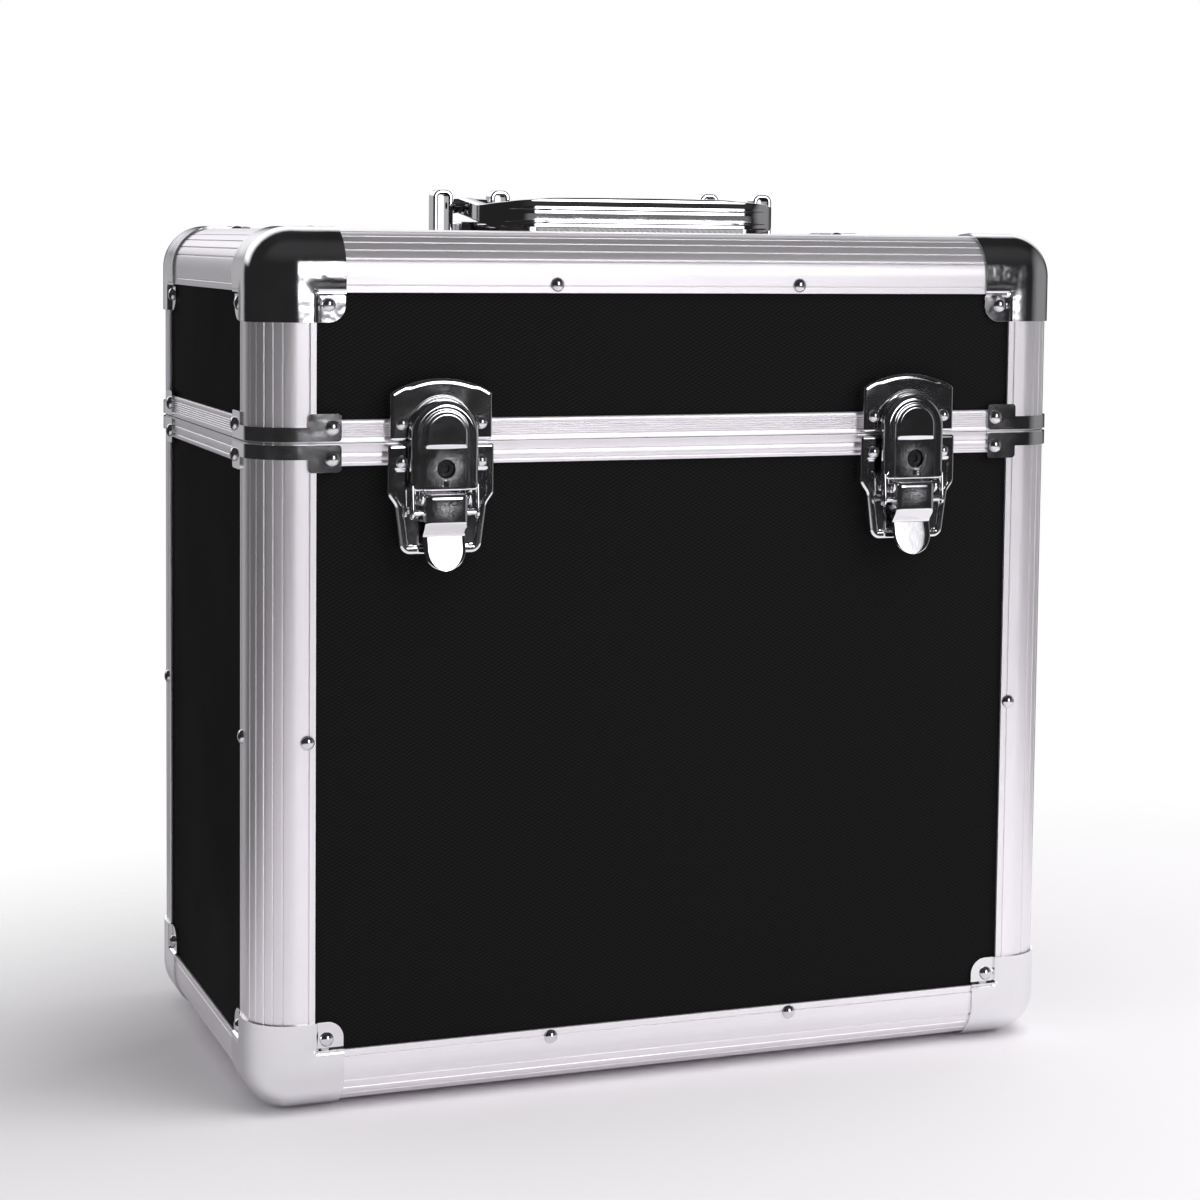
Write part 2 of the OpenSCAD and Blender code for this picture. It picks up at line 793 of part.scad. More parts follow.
module keeper_pan() {
  difference() {
    union() {
      translate([0, 0, -edge_t]) linear_extrude(plate_rise + edge_t - pan_bevel) keeper_outline(0);
      linear_extrude(plate_rise) keeper_outline(pan_bevel);
    }
    translate([0, 0, -edge_t - over])
      linear_extrude(edge_t + over + plate_rise - sheet_t) keeper_outline(sheet_t);
    pan_cut(1);
  }
}

module base_pan() {
  difference() {
    union() {
      translate([0, 0, -edge_t]) linear_extrude(plate_rise + edge_t - pan_bevel) plate_outline(0);
      linear_extrude(plate_rise) plate_outline(pan_bevel);
    }
    translate([0, 0, -edge_t - over])
      linear_extrude(edge_t + over + plate_rise - sheet_t) plate_outline(sheet_t);
    pan_cut(-1);
  }
}

// The keeper's boss is a stack of three half-round steps that the hood closes over.
module keeper_boss() {
  for (i = [1 : boss_n]) translate([0, 0, plate_rise - sheet_t])
    linear_extrude(sheet_t + i * boss_step) {
      radius = boss_r - (i - 1) * sheet_t;
      intersection() {
        translate([0, boss_z]) circle(radius);
        translate([-keeper_w / 2, strap_gap]) square([keeper_w, keeper_top]);
      }
      translate([-radius, strap_gap]) square([2 * radius, boss_z - strap_gap]);
    }
}

module keeper(x) {
  color(chrome) in_case() on_front(x, base_h) {
    keeper_pan();
    keeper_boss();
  }
}

// Lengthwise pins, bores and discs of the latch, along x at a given depth and height.
module cross_rod(depth, height, radius, from, to) {
  translate([from, -depth, height]) rotate([0, 90, 0]) cylinder(r = radius, h = to - from);
}

// The base plate carries the two ears of the lever's pivot pin.
module latch_plate(x) {
  color(chrome) in_case() on_front(x, base_h) {
    base_pan();
    for (s = [0, 1]) mirror([s, 0, 0]) difference() {
      union() {
        cross_rod(pivot_z, pivot_y, latch_ear_r, ear_in, ear_out);
        translate([ear_in, -pivot_z - latch_ear_r, plate_rise - sheet_t])
          cube([latch_ear_t, 2 * latch_ear_r, pivot_y - plate_rise + sheet_t]);
      }
      cross_rod(pivot_z, pivot_y, pin_r + pin_fit, ear_in - over, ear_out + over);
    }
  }
}

module latch_pins() {
  color(chrome) in_case() for (x = [-latch_x, latch_x]) on_front(x, base_h)
    cross_rod(pivot_z, pivot_y, pin_r, -ear_out - pin_end / 2, ear_out + pin_end / 2);
}

// Side view of the lever, x up from the seam and y out: a flat, a band bent inwards and
// a tongue that flares out again for the finger.
module lever_side() {
  flat_end = -lever_top - lever_flat;
  band_end = flat_end - lever_band;
  tip = band_end - lever_tongue;
  slope = lever_dip / lever_band;
  polygon([
    [-lever_top, lever_y - sheet_t], [-lever_top - sheet_t, lever_y], [flat_end, lever_y],
    [band_end, lever_y - lever_dip], [tip, lever_y - lever_flare],
    [tip, lever_y - lever_flare - sheet_t], [band_end, lever_y - lever_dip - sheet_t - slope / 2],
    [flat_end + slope * sheet_t, lever_y - sheet_t]
  ]);
}

module lever_plan() {
  round_at = -lever_top - lever_flat - lever_band - lever_tongue + lever_w / 2;
  translate([0, round_at]) circle(lever_w / 2);
  translate([-lever_w / 2, round_at]) square([lever_w, -lever_top - round_at]);
}

module lever_cheek() {
  translate([lever_w / 2 - sheet_t, 0, 0]) rotate([90, 0, 90]) linear_extrude(sheet_t) difference() {
    union() {
      for (z = [pivot_z, link_z]) translate([-z, pivot_y]) circle(cheek_r);
      translate([-link_z, pivot_y - cheek_r]) square([throw_r, 2 * cheek_r]);
      translate([-lever_top - lever_flat + sheet_t, pivot_y])
        square([lever_flat - 2.2 * sheet_t, lever_y - sheet_t / 2 - pivot_y]);
    }
    translate([-pivot_z, pivot_y]) circle(pin_r + pin_fit);
  }
}

// The lever is a channel: its cheeks turn on the pivot pin and carry the hood's pins.
module lever(x) {
  color(chrome) in_case() on_front(x, base_h) {
    intersection() {
      translate([-lever_w / 2, 0, 0]) rotate([90, 0, 90]) linear_extrude(lever_w) lever_side();
      linear_extrude(2 * lever_y) lever_plan();
    }
    for (s = [0, 1]) mirror([s, 0, 0]) {
      lever_cheek();
      cross_rod(link_z, pivot_y, pin_r, lever_w / 2 - sheet_t, hood_w / 2);
    }
  }
}

module hood_outline(inset) {
  radius = hood_w / 2 - inset;
  translate([0, hood_arch]) circle(radius);
  translate([-radius, -hood_bottom]) square([2 * radius, hood_bottom + hood_arch]);
}

module hood_panel_outline(inset) {
  radius = hood_panel_x - inset;
  mid = hood_arch + sheet_t;
  translate([0, mid]) circle(radius);
  translate([-radius, -hood_bottom]) square([2 * radius, hood_bottom + mid]);
}

// The hood is a pressed cover with a raised middle panel, raised again above the seam, a
// hole for the lock core, and two legs that hang on the lever's pins.
module hood_form() {
  translate([0, 0, hood_back]) {
    linear_extrude(hood_y - hood_back - hood_bevel) hood_outline(0);
    linear_extrude(hood_y - hood_back) hood_outline(hood_bevel);
  }
  linear_extrude(hood_y + hood_panel) intersection() {
    hood_panel_outline(0);
    hood_outline(sheet_t);
  }
  linear_extrude(hood_y + 2 * hood_panel) intersection() {
    hood_panel_outline(sheet_t);
    translate([-hood_w, -sheet_t]) square([2 * hood_w, hood_w]);
  }
  for (s = [0, 1]) mirror([s, 0, 0]) {
    cross_rod(link_z, pivot_y, cheek_r, hood_w / 2 - sheet_t, hood_w / 2);
    translate([hood_w / 2 - sheet_t, -link_z, pivot_y - cheek_r])
      cube([sheet_t, link_z - hood_bottom + over, 2 * cheek_r]);
  }
}

module hood(x) {
  inside = hood_y - sheet_t;
  color(chrome) in_case() on_front(x, base_h) difference() {
    hood_form();
    translate([0, 0, -over]) linear_extrude(over + inside) hood_outline(sheet_t);
    translate([sheet_t - hood_w / 2, -hood_bottom - over, -over])
      cube([hood_w - 2 * sheet_t, 2 * over, over + inside]);
    translate([0, -core_z, 0]) cylinder(r = core_r + pin_fit, h = 2 * hood_y);
    translate([-key_slot_w / 2, -core_z - core_r - key_slot_drop, 0])
      cube([key_slot_w, key_slot_h, 2 * hood_y]);
    for (s = [0, 1]) mirror([s, 0, 0])
      cross_rod(link_z, pivot_y, pin_r + pin_fit, hood_w / 2 - 2 * sheet_t, hood_w);
  }
}

// The lock core turns in the hood; its cam lies behind the hood's face.
module lock_core(x) {
  cam_y = hood_y - sheet_t - hinge_clear;
  color(chrome) in_case() on_front(x, base_h) translate([0, -core_z, 0]) difference() {
    union() {
      translate([0, 0, hood_back]) cylinder(r = core_r, h = core_face - hood_back);
      translate([-cam_w / 2, -core_r - cam_reach, hood_back])
        cube([cam_w, core_r + cam_reach, cam_y - hood_back]);
    }
    translate([0, 0, core_face - key_depth]) cylinder(r = core_r * 0.45, h = hood_y);
    translate([-key_w / 2, -core_r * 0.8, core_face - key_depth])
      cube([key_w, core_r * 1.6, hood_y]);
  }
}

// ---------- hinges ----------
// Hinge pieces are drawn with x across, y up from the seam and z out of the back face.

module knuckles(first) {
  for (i = [first : 2 : knuckle_n - 1])
    translate([i * knuckle_l - hinge_l / 2 + hinge_clear / 2, 0, hinge_axis]) rotate([0, 90, 0])
      cylinder(r = knuckle_r, h = knuckle_l - hinge_clear);
}

module knuckle_webs(first, side) {
  for (i = [first : 2 : knuckle_n - 1])
    translate([i * knuckle_l - hinge_l / 2 + hinge_clear / 2, side > 0 ? 0 : -2 * knuckle_r, 0])
      cube([knuckle_l - hinge_clear, 2 * knuckle_r, hinge_t]);
}

module hinge_leaf(first, side) {
  root = knuckle_r + hinge_clear;
  difference() {
    union() {
      translate([-hinge_l / 2, side > 0 ? root : -hinge_leaf, 0])
        cube([hinge_l, hinge_leaf - root, hinge_t]);
      knuckle_webs(first, side);
      knuckles(first);
    }
    translate([-hinge_l, 0, hinge_axis]) rotate([0, 90, 0])
      cylinder(r = hinge_pin_r + pin_fit, h = 2 * hinge_l);
  }
}

module hinge_base_leaves() {
  color(chrome) in_case() for (x = [-hinge_x, hinge_x]) on_back(x, base_h) hinge_leaf(0, -1);
}

module hinge_lid_leaves() {
  color(chrome) in_case() for (x = [-hinge_x, hinge_x]) on_back(x, base_h) hinge_leaf(1, 1);
}

module hinge_pins() {
  color(chrome) in_case() for (x = [-hinge_x, hinge_x]) on_back(x, base_h)
    translate([-hinge_l / 2 - pin_end, 0, hinge_axis]) rotate([0, 90, 0])
      cylinder(r = hinge_pin_r, h = hinge_l + 2 * pin_end);
}

// ---------- handle ----------
// Handle pieces are drawn on the lid's top face, at its middle.

module on_lid() {
  translate([0, 0, case_h]) children();
}

module rounded_plate(half_l, half_b, radius) {
  for (x = [-1, 1], y = [-1, 1])
    translate([x * (half_l - radius), y * (half_b - radius)]) circle(radius);
  square([2 * half_l, 2 * (half_b - radius)], center = true);
  square([2 * (half_l - radius), 2 * half_b], center = true);
}

// A flange riveted to the top panel, with a raised hollow tray between the brackets.
module handle_tray() {
  color(chrome) in_case() on_lid() translate([0, -handle_y, -edge_t]) difference() {
    union() {
      linear_extrude(tray_t)
        rounded_plate(tray_x - tray_flange_end, tray_d / 2 + tray_flange, tray_r);
      linear_extrude(tray_h + edge_t) rounded_plate(tray_x, tray_d / 2, tray_r);
    }
    translate([0, 0, -over]) linear_extrude(over + tray_h + edge_t - tray_t)
      rounded_plate(tray_x - tray_t, tray_d / 2 - tray_t, tray_r - tray_t);
  }
}

module bracket_section(foot) {
  tall = bracket_h - foot;
  difference() {
    union() {
      translate([-bracket_w / 2, 0]) square([bracket_w, tall - bracket_bend]);
      translate([bracket_bend - bracket_w / 2, 0]) square([bracket_w - 2 * bracket_bend, tall]);
      for (s = [-1, 1])
        translate([s * (bracket_w / 2 - bracket_bend), tall - bracket_bend]) circle(bracket_bend);
    }
    translate([bracket_t - bracket_w / 2, -over])
      square([bracket_w - 2 * bracket_t, over + tall - bracket_t]);
  }
}

// A rod along x that starts at the given place on both sides of the handle's axis.
module axis_rods(from, radius, long) {
  for (s = [0, 1]) mirror([s, 0, 0])
    translate([from, -handle_y, handle_z]) rotate([0, 90, 0]) cylinder(r = radius, h = long);
}

// Four bent loops; a pair at each end holds the trunnions of the bail.
module handle_brackets() {
  color(chrome) in_case() on_lid() difference() {
    for (s = [-1, 1], inner = [0, 1]) {
      foot = inner == 1 ? tray_h : -edge_t;
      translate([s * (bracket_x - inner * bracket_step), -handle_y + bracket_l / 2, foot])
        rotate([90, 0, 0]) linear_extrude(bracket_l) bracket_section(foot);
    }
    axis_rods(hub_in - hub_gap - bracket_t - over, trunnion_r + pin_fit, trunnion_l + 2 * over);
  }
}

// Plan of the bail: a straight grip, two bends and two arms.
module bail_plan() {
  bend_y = grip_front + bail_r;
  translate([-grip_x, grip_front]) square([2 * grip_x, bail_t]);
  for (s = [0, 1]) mirror([s, 0]) {
    translate([grip_x, bend_y]) intersection() {
      difference() {
        circle(bail_r);
        circle(bail_r - bail_t);
      }
      translate([0, -bail_r]) square(bail_r);
    }
    translate([arm_x - bail_t, bend_y]) square([bail_t, -handle_y - bend_y]);
  }
}

// Side view of the bail, x along the depth: slim arms that deepen round the bends.
module bail_side() {
  grip_back = grip_front + bail_t;
  grip_top = bail_rest + grip_h;
  arm_end = grip_front + bail_r;
  polygon([
    [grip_front, bail_rest], [grip_back, bail_rest], [arm_end, arm_low],
    [-handle_y, handle_z - hub_r], [-handle_y, handle_z + hub_r], [arm_end, arm_high],
    [grip_back, grip_top], [grip_front + grip_round, grip_top],
    [grip_front, grip_top - grip_round]
  ]);
}

// Hollows along the grip: two grooves and a band in its face, and the strip's channel.
module grip_hollows() {
  for (z = [grip_groove_low, grip_groove_high])
    translate([-grip_x, grip_front, bail_rest + z]) rotate([0, 90, 0])
      cylinder(r = grip_groove_r, h = 2 * grip_x);
  translate([-grip_x, grip_front - grip_band_r + grip_band_d, bail_rest + grip_band_z])
    rotate([0, 90, 0]) cylinder(r = grip_band_r, h = 2 * grip_x);
  translate([-grip_x, grip_front - over, bail_rest - over])
    cube([2 * grip_x, bail_t + 2 * over, strip_h + over]);
  translate([-grip_x, grip_front + grip_wall, bail_rest])
    cube([2 * grip_x, bail_t - 2 * grip_wall, strip_h + strip_tongue]);
}

module handle_bail() {
  color(chrome) in_case() on_lid() {
    difference() {
      intersection() {
        linear_extrude(handle_z + 2 * hub_r) bail_plan();
        translate([-arm_x - over, 0, 0]) rotate([90, 0, 90])
          linear_extrude(2 * (arm_x + over)) bail_side();
      }
      grip_hollows();
    }
    axis_rods(hub_in, hub_r, hub_out - hub_in);
    axis_rods(hub_in - hub_gap - bracket_t, trunnion_r, trunnion_l);
  }
}

// The strip fills the channel of the grip and shows along its underside.
module handle_grip() {
  wall = grip_wall + fit;
  half_l = grip_x - fit;
  color(padding) in_case() on_lid() {
    translate([-half_l, grip_front + 4 * fit, bail_rest])
      cube([2 * half_l, bail_t - 8 * fit, strip_h]);
    translate([-half_l, grip_front + wall, bail_rest])
      cube([2 * half_l, bail_t - 2 * wall, strip_h + strip_tongue - fit]);
  }
}

// ---------- nodes ----------

wall_along_x(front, edge_r, base_wall_top);  // base_front_panel
wall_along_x(back, edge_r, base_wall_top);  // base_back_panel
wall_along_y(left, edge_r, base_wall_top);  // base_left_panel
wall_along_y(right, edge_r, base_wall_top);  // base_right_panel
bottom_panel();
post(left, front, rail_cut, base_top);  // base_post_front_left
post(right, front, rail_cut, base_top);  // base_post_front_right
post(left, back, rail_cut, base_top);  // base_post_back_left
post(right, back, rail_cut, base_top);  // base_post_back_right
in_case() rail_along_x(front);  // bottom_rail_front
in_case() rail_along_x(back);  // bottom_rail_back
in_case() rail_along_y(left);  // bottom_rail_left
in_case() rail_along_y(right);  // bottom_rail_right
base_rim();
bottom_cap(left, front);  // bottom_cap_front_left
bottom_cap(right, front);  // bottom_cap_front_right
bottom_cap(left, back);  // bottom_cap_back_left
bottom_cap(right, back);  // bottom_cap_back_right
base_seam_straps();
base_rivets();
base_lining();
latch_plate(-latch_x);  // latch_plate_left
latch_plate(latch_x);  // latch_plate_right
latch_pins();
hinge_base_leaves();
hinge_pins();
wall_along_x(front, lid_wall_bottom, lid_wall_top);  // lid_front_panel
wall_along_x(back, lid_wall_bottom, lid_wall_top);  // lid_back_panel
wall_along_y(left, lid_wall_bottom, lid_wall_top);  // lid_left_panel
wall_along_y(right, lid_wall_bottom, lid_wall_top);  // lid_right_panel
top_panel();
post(left, front, lid_bottom, case_h - rail_cut);  // lid_post_front_left
post(right, front, lid_bottom, case_h - rail_cut);  // lid_post_front_right
post(left, back, lid_bottom, case_h - rail_cut);  // lid_post_back_left
post(right, back, lid_bottom, case_h - rail_cut);  // lid_post_back_right
in_case() turned_over() rail_along_x(front);  // top_rail_front
in_case() turned_over() rail_along_x(back);  // top_rail_back
in_case() turned_over() rail_along_y(left);  // top_rail_left
in_case() turned_over() rail_along_y(right);  // top_rail_right
lid_rim();
top_cap(left, front);  // top_cap_front_left
top_cap(right, front);  // top_cap_front_right
top_cap(left, back);  // top_cap_back_left
top_cap(right, back);  // top_cap_back_right
lid_seam_straps();
lid_rivets();
lid_lining();
keeper(-latch_x);  // keeper_left
keeper(latch_x);  // keeper_right
hinge_lid_leaves();
handle_tray();
handle_brackets();
handle_bail();
handle_grip();
lever(-latch_x);  // lever_left
lever(latch_x);  // lever_right
hood(-latch_x);  // hood_left
hood(latch_x);  // hood_right
lock_core(-latch_x);  // lock_core_left
lock_core(latch_x);  // lock_core_right
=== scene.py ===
# %% [markdown]
# # A carrying case for 12-inch records
# The solids of the case are loaded as a fixed frame.  Every visible metal piece is then
# made again as a fine numpy surface in the same place: extruded angles as swept sections,
# pressed hardware as height fields over an outline, rivets and pins as turned profiles.
# Lengths are written in millimetres and turned to metres once, when a mesh is made.
import math
import bmesh
import bpy
import numpy as np
from mathutils import Matrix


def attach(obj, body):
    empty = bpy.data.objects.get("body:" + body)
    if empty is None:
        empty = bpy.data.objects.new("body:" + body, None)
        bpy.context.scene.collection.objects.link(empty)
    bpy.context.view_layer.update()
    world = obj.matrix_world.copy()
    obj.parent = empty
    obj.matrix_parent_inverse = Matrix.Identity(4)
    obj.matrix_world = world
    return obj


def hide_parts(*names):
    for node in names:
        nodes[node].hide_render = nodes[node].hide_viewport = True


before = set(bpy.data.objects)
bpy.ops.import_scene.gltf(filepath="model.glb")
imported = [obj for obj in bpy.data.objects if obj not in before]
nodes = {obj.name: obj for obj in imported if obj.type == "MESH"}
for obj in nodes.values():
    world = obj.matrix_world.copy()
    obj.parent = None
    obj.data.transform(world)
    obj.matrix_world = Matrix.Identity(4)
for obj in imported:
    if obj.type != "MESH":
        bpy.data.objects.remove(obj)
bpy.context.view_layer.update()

# %% [markdown]
# ## Sizes
# The outer faces of the aluminium lie at these places, and the hardware is measured from
# the seam between base and lid.  They are the values that the solids were drawn with.
# %% Sizes in millimetres
MM = 0.001
HALF_W, HALF_D, SHELL_Y = 182.5, 99.0, 3.4
FLOOR, SEAM, TOP = 1.0, 276.0, 362.0
EDGE_R, EDGE_LEG, EDGE_T, INNER_T, SLOT_IN = 18.0, 25.5, 1.4, 1.2, 6.5
RAIL_CUT, SEAM_GAP = 25.6, 0.4
RIM_H, RIM_LIP, RIM_WEB, LINING_IN = 9.2, 10.0, 1.8, 7.7
TONGUE_U, TONGUE_T, TONGUE_H, TONGUE_GAP, SWING_GAP = 3.0, 1.8, 3.0, 0.4, 1.0
CAP_LEG, CAP_T, CAP_EAR = 37.5, 1.0, 7.0
LATCH_X, PLATE_W, KEEPER_W, PLATE_RISE, PLATE_DROP = 106.0, 45.2, 43.4, 4.8, 45.8
HINGE_X, HINGE_L, HINGE_LEAF, HINGE_T, KNUCKLE_R, HINGE_AXIS = 105.0, 50.0, 24.0, 1.2, 3.0, 3.2
HANDLE_Y, HANDLE_Z, BRACKET_X, BRACKET_STEP = 5.5, 11.0, 77.0, 26.5
GRIP_X, BAIL_REACH, BAIL_R, BAIL_T, BAIL_REST = 48.0, 48.0, 21.0, 7.0, -0.8
print("case", 2 * HALF_W, "x", 2 * HALF_D, "x", TOP - FLOOR, "mm")

# %% [markdown]
# ## Making meshes
# Cubes with modifiers would be quick, but pressed and drawn metal is easier to state as a
# formula.  So a surface is an array of points with rows and columns: `grid` turns it into
# quads, and `piece` joins such patches into one welded mesh with outward normals, and with
# hard edges only where the surface really turns sharply.
# %% Mesh helpers
def grid(points, close_rows=False, close_cols=False):
    """Vertices and quads of an array of points (rows, columns, 3)."""
    points = np.asarray(points, float)
    rows, cols = points.shape[:2]
    index = np.arange(rows * cols).reshape(rows, cols)
    if close_rows:
        index = np.vstack([index, index[:1]])
    if close_cols:
        index = np.hstack([index, index[:, :1]])
    quads = np.stack([index[:-1, :-1], index[1:, :-1], index[1:, 1:], index[:-1, 1:]], -1)
    return points.reshape(-1, 3), quads.reshape(-1, 4).tolist()


def put(name, data):
    """A new object in the scene."""
    made = bpy.data.objects.new(name, data)
    bpy.context.scene.collection.objects.link(made)
    return made


WELD, SLIVER = 4e-6, 2e-6                   # metres


def piece(name, patches, body, replaced, material, thick=0, bevel=0, crease=38, facing=None):
    """One object from patches (vertices in mm, faces), riding on a body.

    thick gives an open surface that thickness inwards; facing is a point inside it.
    Edges that turn by more than crease degrees stay hard."""
    vertices, faces, start = [], [], 0
    for patch_vertices, patch_faces in patches:
        vertices.append(np.asarray(patch_vertices, float))
        faces += [[start + i for i in face] for face in patch_faces]
        start += len(patch_vertices)
    mesh = bpy.data.meshes.new(name)
    mesh.from_pydata((np.vstack(vertices) * MM).tolist(), [], faces)
    bm = bmesh.new()
    bm.from_mesh(mesh)
    bmesh.ops.remove_doubles(bm, verts=bm.verts, dist=WELD)
    bmesh.ops.dissolve_degenerate(bm, dist=SLIVER, edges=bm.edges)
    bmesh.ops.recalc_face_normals(bm, faces=bm.faces)
    if facing is not None:
        inside = np.asarray(facing, float) * MM
        turn = sum(f.calc_area() * (np.array(f.calc_center_median()) - inside) @ np.array(f.normal)
                   for f in bm.faces)
        if turn < 0:
            bmesh.ops.reverse_faces(bm, faces=bm.faces)
    for face in bm.faces:
        face.smooth = True
    for edge in bm.edges:
        if len(edge.link_faces) == 2 and edge.calc_face_angle() > math.radians(crease):
            edge.smooth = False
    bm.to_mesh(mesh)
    bm.free()
    made = put(name, mesh)
    mesh.materials.append(material)
    if thick:
        solid = made.modifiers.new("thickness", "SOLIDIFY")
        solid.thickness = thick * MM
        solid.offset = -1
    if bevel:
        rounded_edge = made.modifiers.new("edges", "BEVEL")
        rounded_edge.width = bevel * MM
        rounded_edge.segments = 2
        rounded_edge.limit_method = "ANGLE"
        rounded_edge.angle_limit = math.radians(50)
        rounded_edge.harden_normals = True
    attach(made, body)
    if replaced:
        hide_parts(*replaced)
    return made


def moved(patch, matrix, shift):
    """A patch turned by a 3 x 3 matrix and then shifted."""
    vertices, faces = patch
    return np.asarray(vertices) @ np.asarray(matrix, float).T + np.asarray(shift, float), faces


def smooth(value, low, high):
    """0 below low, 1 above high, and a smooth rise in between."""
    t = np.clip((value - low) / (high - low), 0, 1)
    return t * t * (3 - 2 * t)


def rounded(points, radii, step=12):
    """A closed outline through points, each corner rounded with its radius."""
    points, out = np.asarray(points, float), []
    for i, (corner, radius) in enumerate(zip(points, radii)):
        back = points[i - 1] - corner
        ahead = points[(i + 1) % len(points)] - corner
        back, ahead = back / np.linalg.norm(back), ahead / np.linalg.norm(ahead)
        half = math.acos(np.clip(back @ ahead, -1, 1)) / 2
        if radius <= 0 or half > 1.55:
            out.append(corner)
            continue
        centre = corner + (back + ahead) / np.linalg.norm(back + ahead) * radius / math.sin(half)
        first, last = [corner + d * radius / math.tan(half) - centre for d in (back, ahead)]
        a0 = math.atan2(first[1], first[0])
        turn = (math.atan2(last[1], last[0]) - a0 + math.pi) % (2 * math.pi) - math.pi
        for t in np.linspace(0, 1, max(2, round(abs(math.degrees(turn)) / step) + 1)):
            a = a0 + turn * t
            out.append(centre + radius * np.array([math.cos(a), math.sin(a)]))
    return np.array(out)


def resampled(outline, spacing):
    """The closed outline with about even steps, keeping its own points where they are."""
    out = []
    for a, b in zip(outline, np.roll(outline, -1, axis=0)):
        count = max(1, round(np.linalg.norm(b - a) / spacing))
        out += [a + (b - a) * k / count for k in range(count)]
    return np.array(out)


def outward(outline):
    """Unit normals of a closed outline that runs anticlockwise."""
    along = np.roll(outline, -1, axis=0) - np.roll(outline, 1, axis=0)
    normal = np.stack([along[:, 1], -along[:, 0]], -1)
    return normal / np.linalg.norm(normal, axis=1)[:, None]


def tube(rings):
    """A skin through closed rings of points, with a face at both ends."""
    vertices, quads = grid(np.stack(rings), close_cols=True)
    every, n = list(range(len(vertices))), len(rings[0])
    return vertices, quads + [every[:n][::-1], every[-n:]]


def lathe(profile, segments=32):
    """A profile of (radius, height) turned about the z axis."""
    profile = np.asarray(profile, float)
    a = np.linspace(0, 2 * math.pi, segments, endpoint=False)[:, None]
    points = np.stack([profile[:, 0] * np.cos(a), profile[:, 0] * np.sin(a),
                       profile[:, 1] + 0 * a], -1)
    return grid(points, close_rows=True)


def slab(outline, low, high, bevel=0.2):
    """A plate between two heights over a closed outline, with rounded edges."""
    normal, near = outward(outline), 0.3 * bevel
    levels = ((bevel, low), (near, low + near), (0, low + bevel),
              (0, high - bevel), (near, high - near), (bevel, high))
    return tube([np.column_stack([outline - inset * normal, np.full(len(outline), height)])
                 for inset, height in levels])


print("helpers ready")

# %% [markdown]
# ## Materials
# Pictures wrapped on the case would stretch and need unwrapping, so every finish is made
# of nodes on object coordinates, which hold in any view and any pose.  A `Field` is the
# output of a node, and arithmetic on fields adds math nodes, so a finish reads as a formula.
# %% Fields
def feed(socket, value):
    """Sets an input of a node, or links it to a field."""
    if isinstance(value, Field):
        socket.id_data.links.new(value.socket, socket)
    else:
        socket.default_value = value


def add(tree, kind, **values):
    """A node with its properties and, for names that it has as sockets, its inputs set."""
    node = tree.nodes.new(kind)
    for key, value in values.items():
        if hasattr(node, key):
            setattr(node, key, value)
        else:
            feed(node.inputs[key.replace("_", " ")], value)
    return node


class Field:
    """An output of a node; arithmetic on it adds math nodes beside that node."""

    def __init__(self, socket):
        self.socket, self.tree = socket, socket.id_data

    def math(self, operation, other=0.0):
        node = add(self.tree, "ShaderNodeMath", operation=operation)
        feed(node.inputs[0], self)
        feed(node.inputs[1], other)
        return Field(node.outputs[0])

    def __add__(self, other):
        return self.math("ADD", other)

    def __sub__(self, other):
        return self.math("SUBTRACT", other)

    def __mul__(self, other):
        return self.math("MULTIPLY", other)

    def __truediv__(self, other):
        return self.math("DIVIDE", other)

    def spread(self, low, high, from_low=0.3, from_high=0.7):
        """The field mapped from one range to another, and held inside it."""
        node = add(self.tree, "ShaderNodeMapRange", Value=self, From_Min=from_low,
                   From_Max=from_high, To_Min=low, To_Max=high)
        return Field(node.outputs["Result"])

    def mixed(self, first, second):
        """A colour between two colours."""
        node = add(self.tree, "ShaderNodeMix", data_type="RGBA")
        for index, value in ((0, self), (6, (*first, 1)), (7, (*second, 1))):
            feed(node.inputs[index], value)
        return Field(node.outputs[2])


class Finish:
    """A material whose Principled shader is driven by fields."""

    def __init__(self, name, colour, metallic, roughness, **sockets):
        self.made = bpy.data.materials.new(name)
        self.made.use_nodes = True
        self.tree = self.made.node_tree
        self.shader = self.tree.nodes["Principled BSDF"]
        self.drive(Base_Color=(*colour, 1), Metallic=metallic, Roughness=roughness, **sockets)

    def drive(self, **values):
        for key, value in values.items():
            feed(self.shader.inputs[key.replace("_", " ")], value)

    def place(self, kind="Object"):
        """The place on the piece in metres, or the normal."""
        return Field(add(self.tree, "ShaderNodeTexCoord").outputs[kind])

    def axes(self, kind="Object"):
        split = add(self.tree, "ShaderNodeSeparateXYZ", Vector=self.place(kind))
        return map(Field, split.outputs)

    def noise(self, scale, detail=3, rough=0.55, stretch=(1, 1, 1)):
        mapping = add(self.tree, "ShaderNodeMapping", Vector=self.place(), Scale=stretch)
        node = add(self.tree, "ShaderNodeTexNoise", Vector=Field(mapping.outputs[0]),
                   Scale=scale, Detail=detail, Roughness=rough)
        return Field(node.outputs["Fac"])

    def bump(self, height, strength, distance):
        node = add(self.tree, "ShaderNodeBump", Height=height, Strength=strength, Distance=distance)
        self.drive(Normal=Field(node.outputs["Normal"]))


print("fields ready")

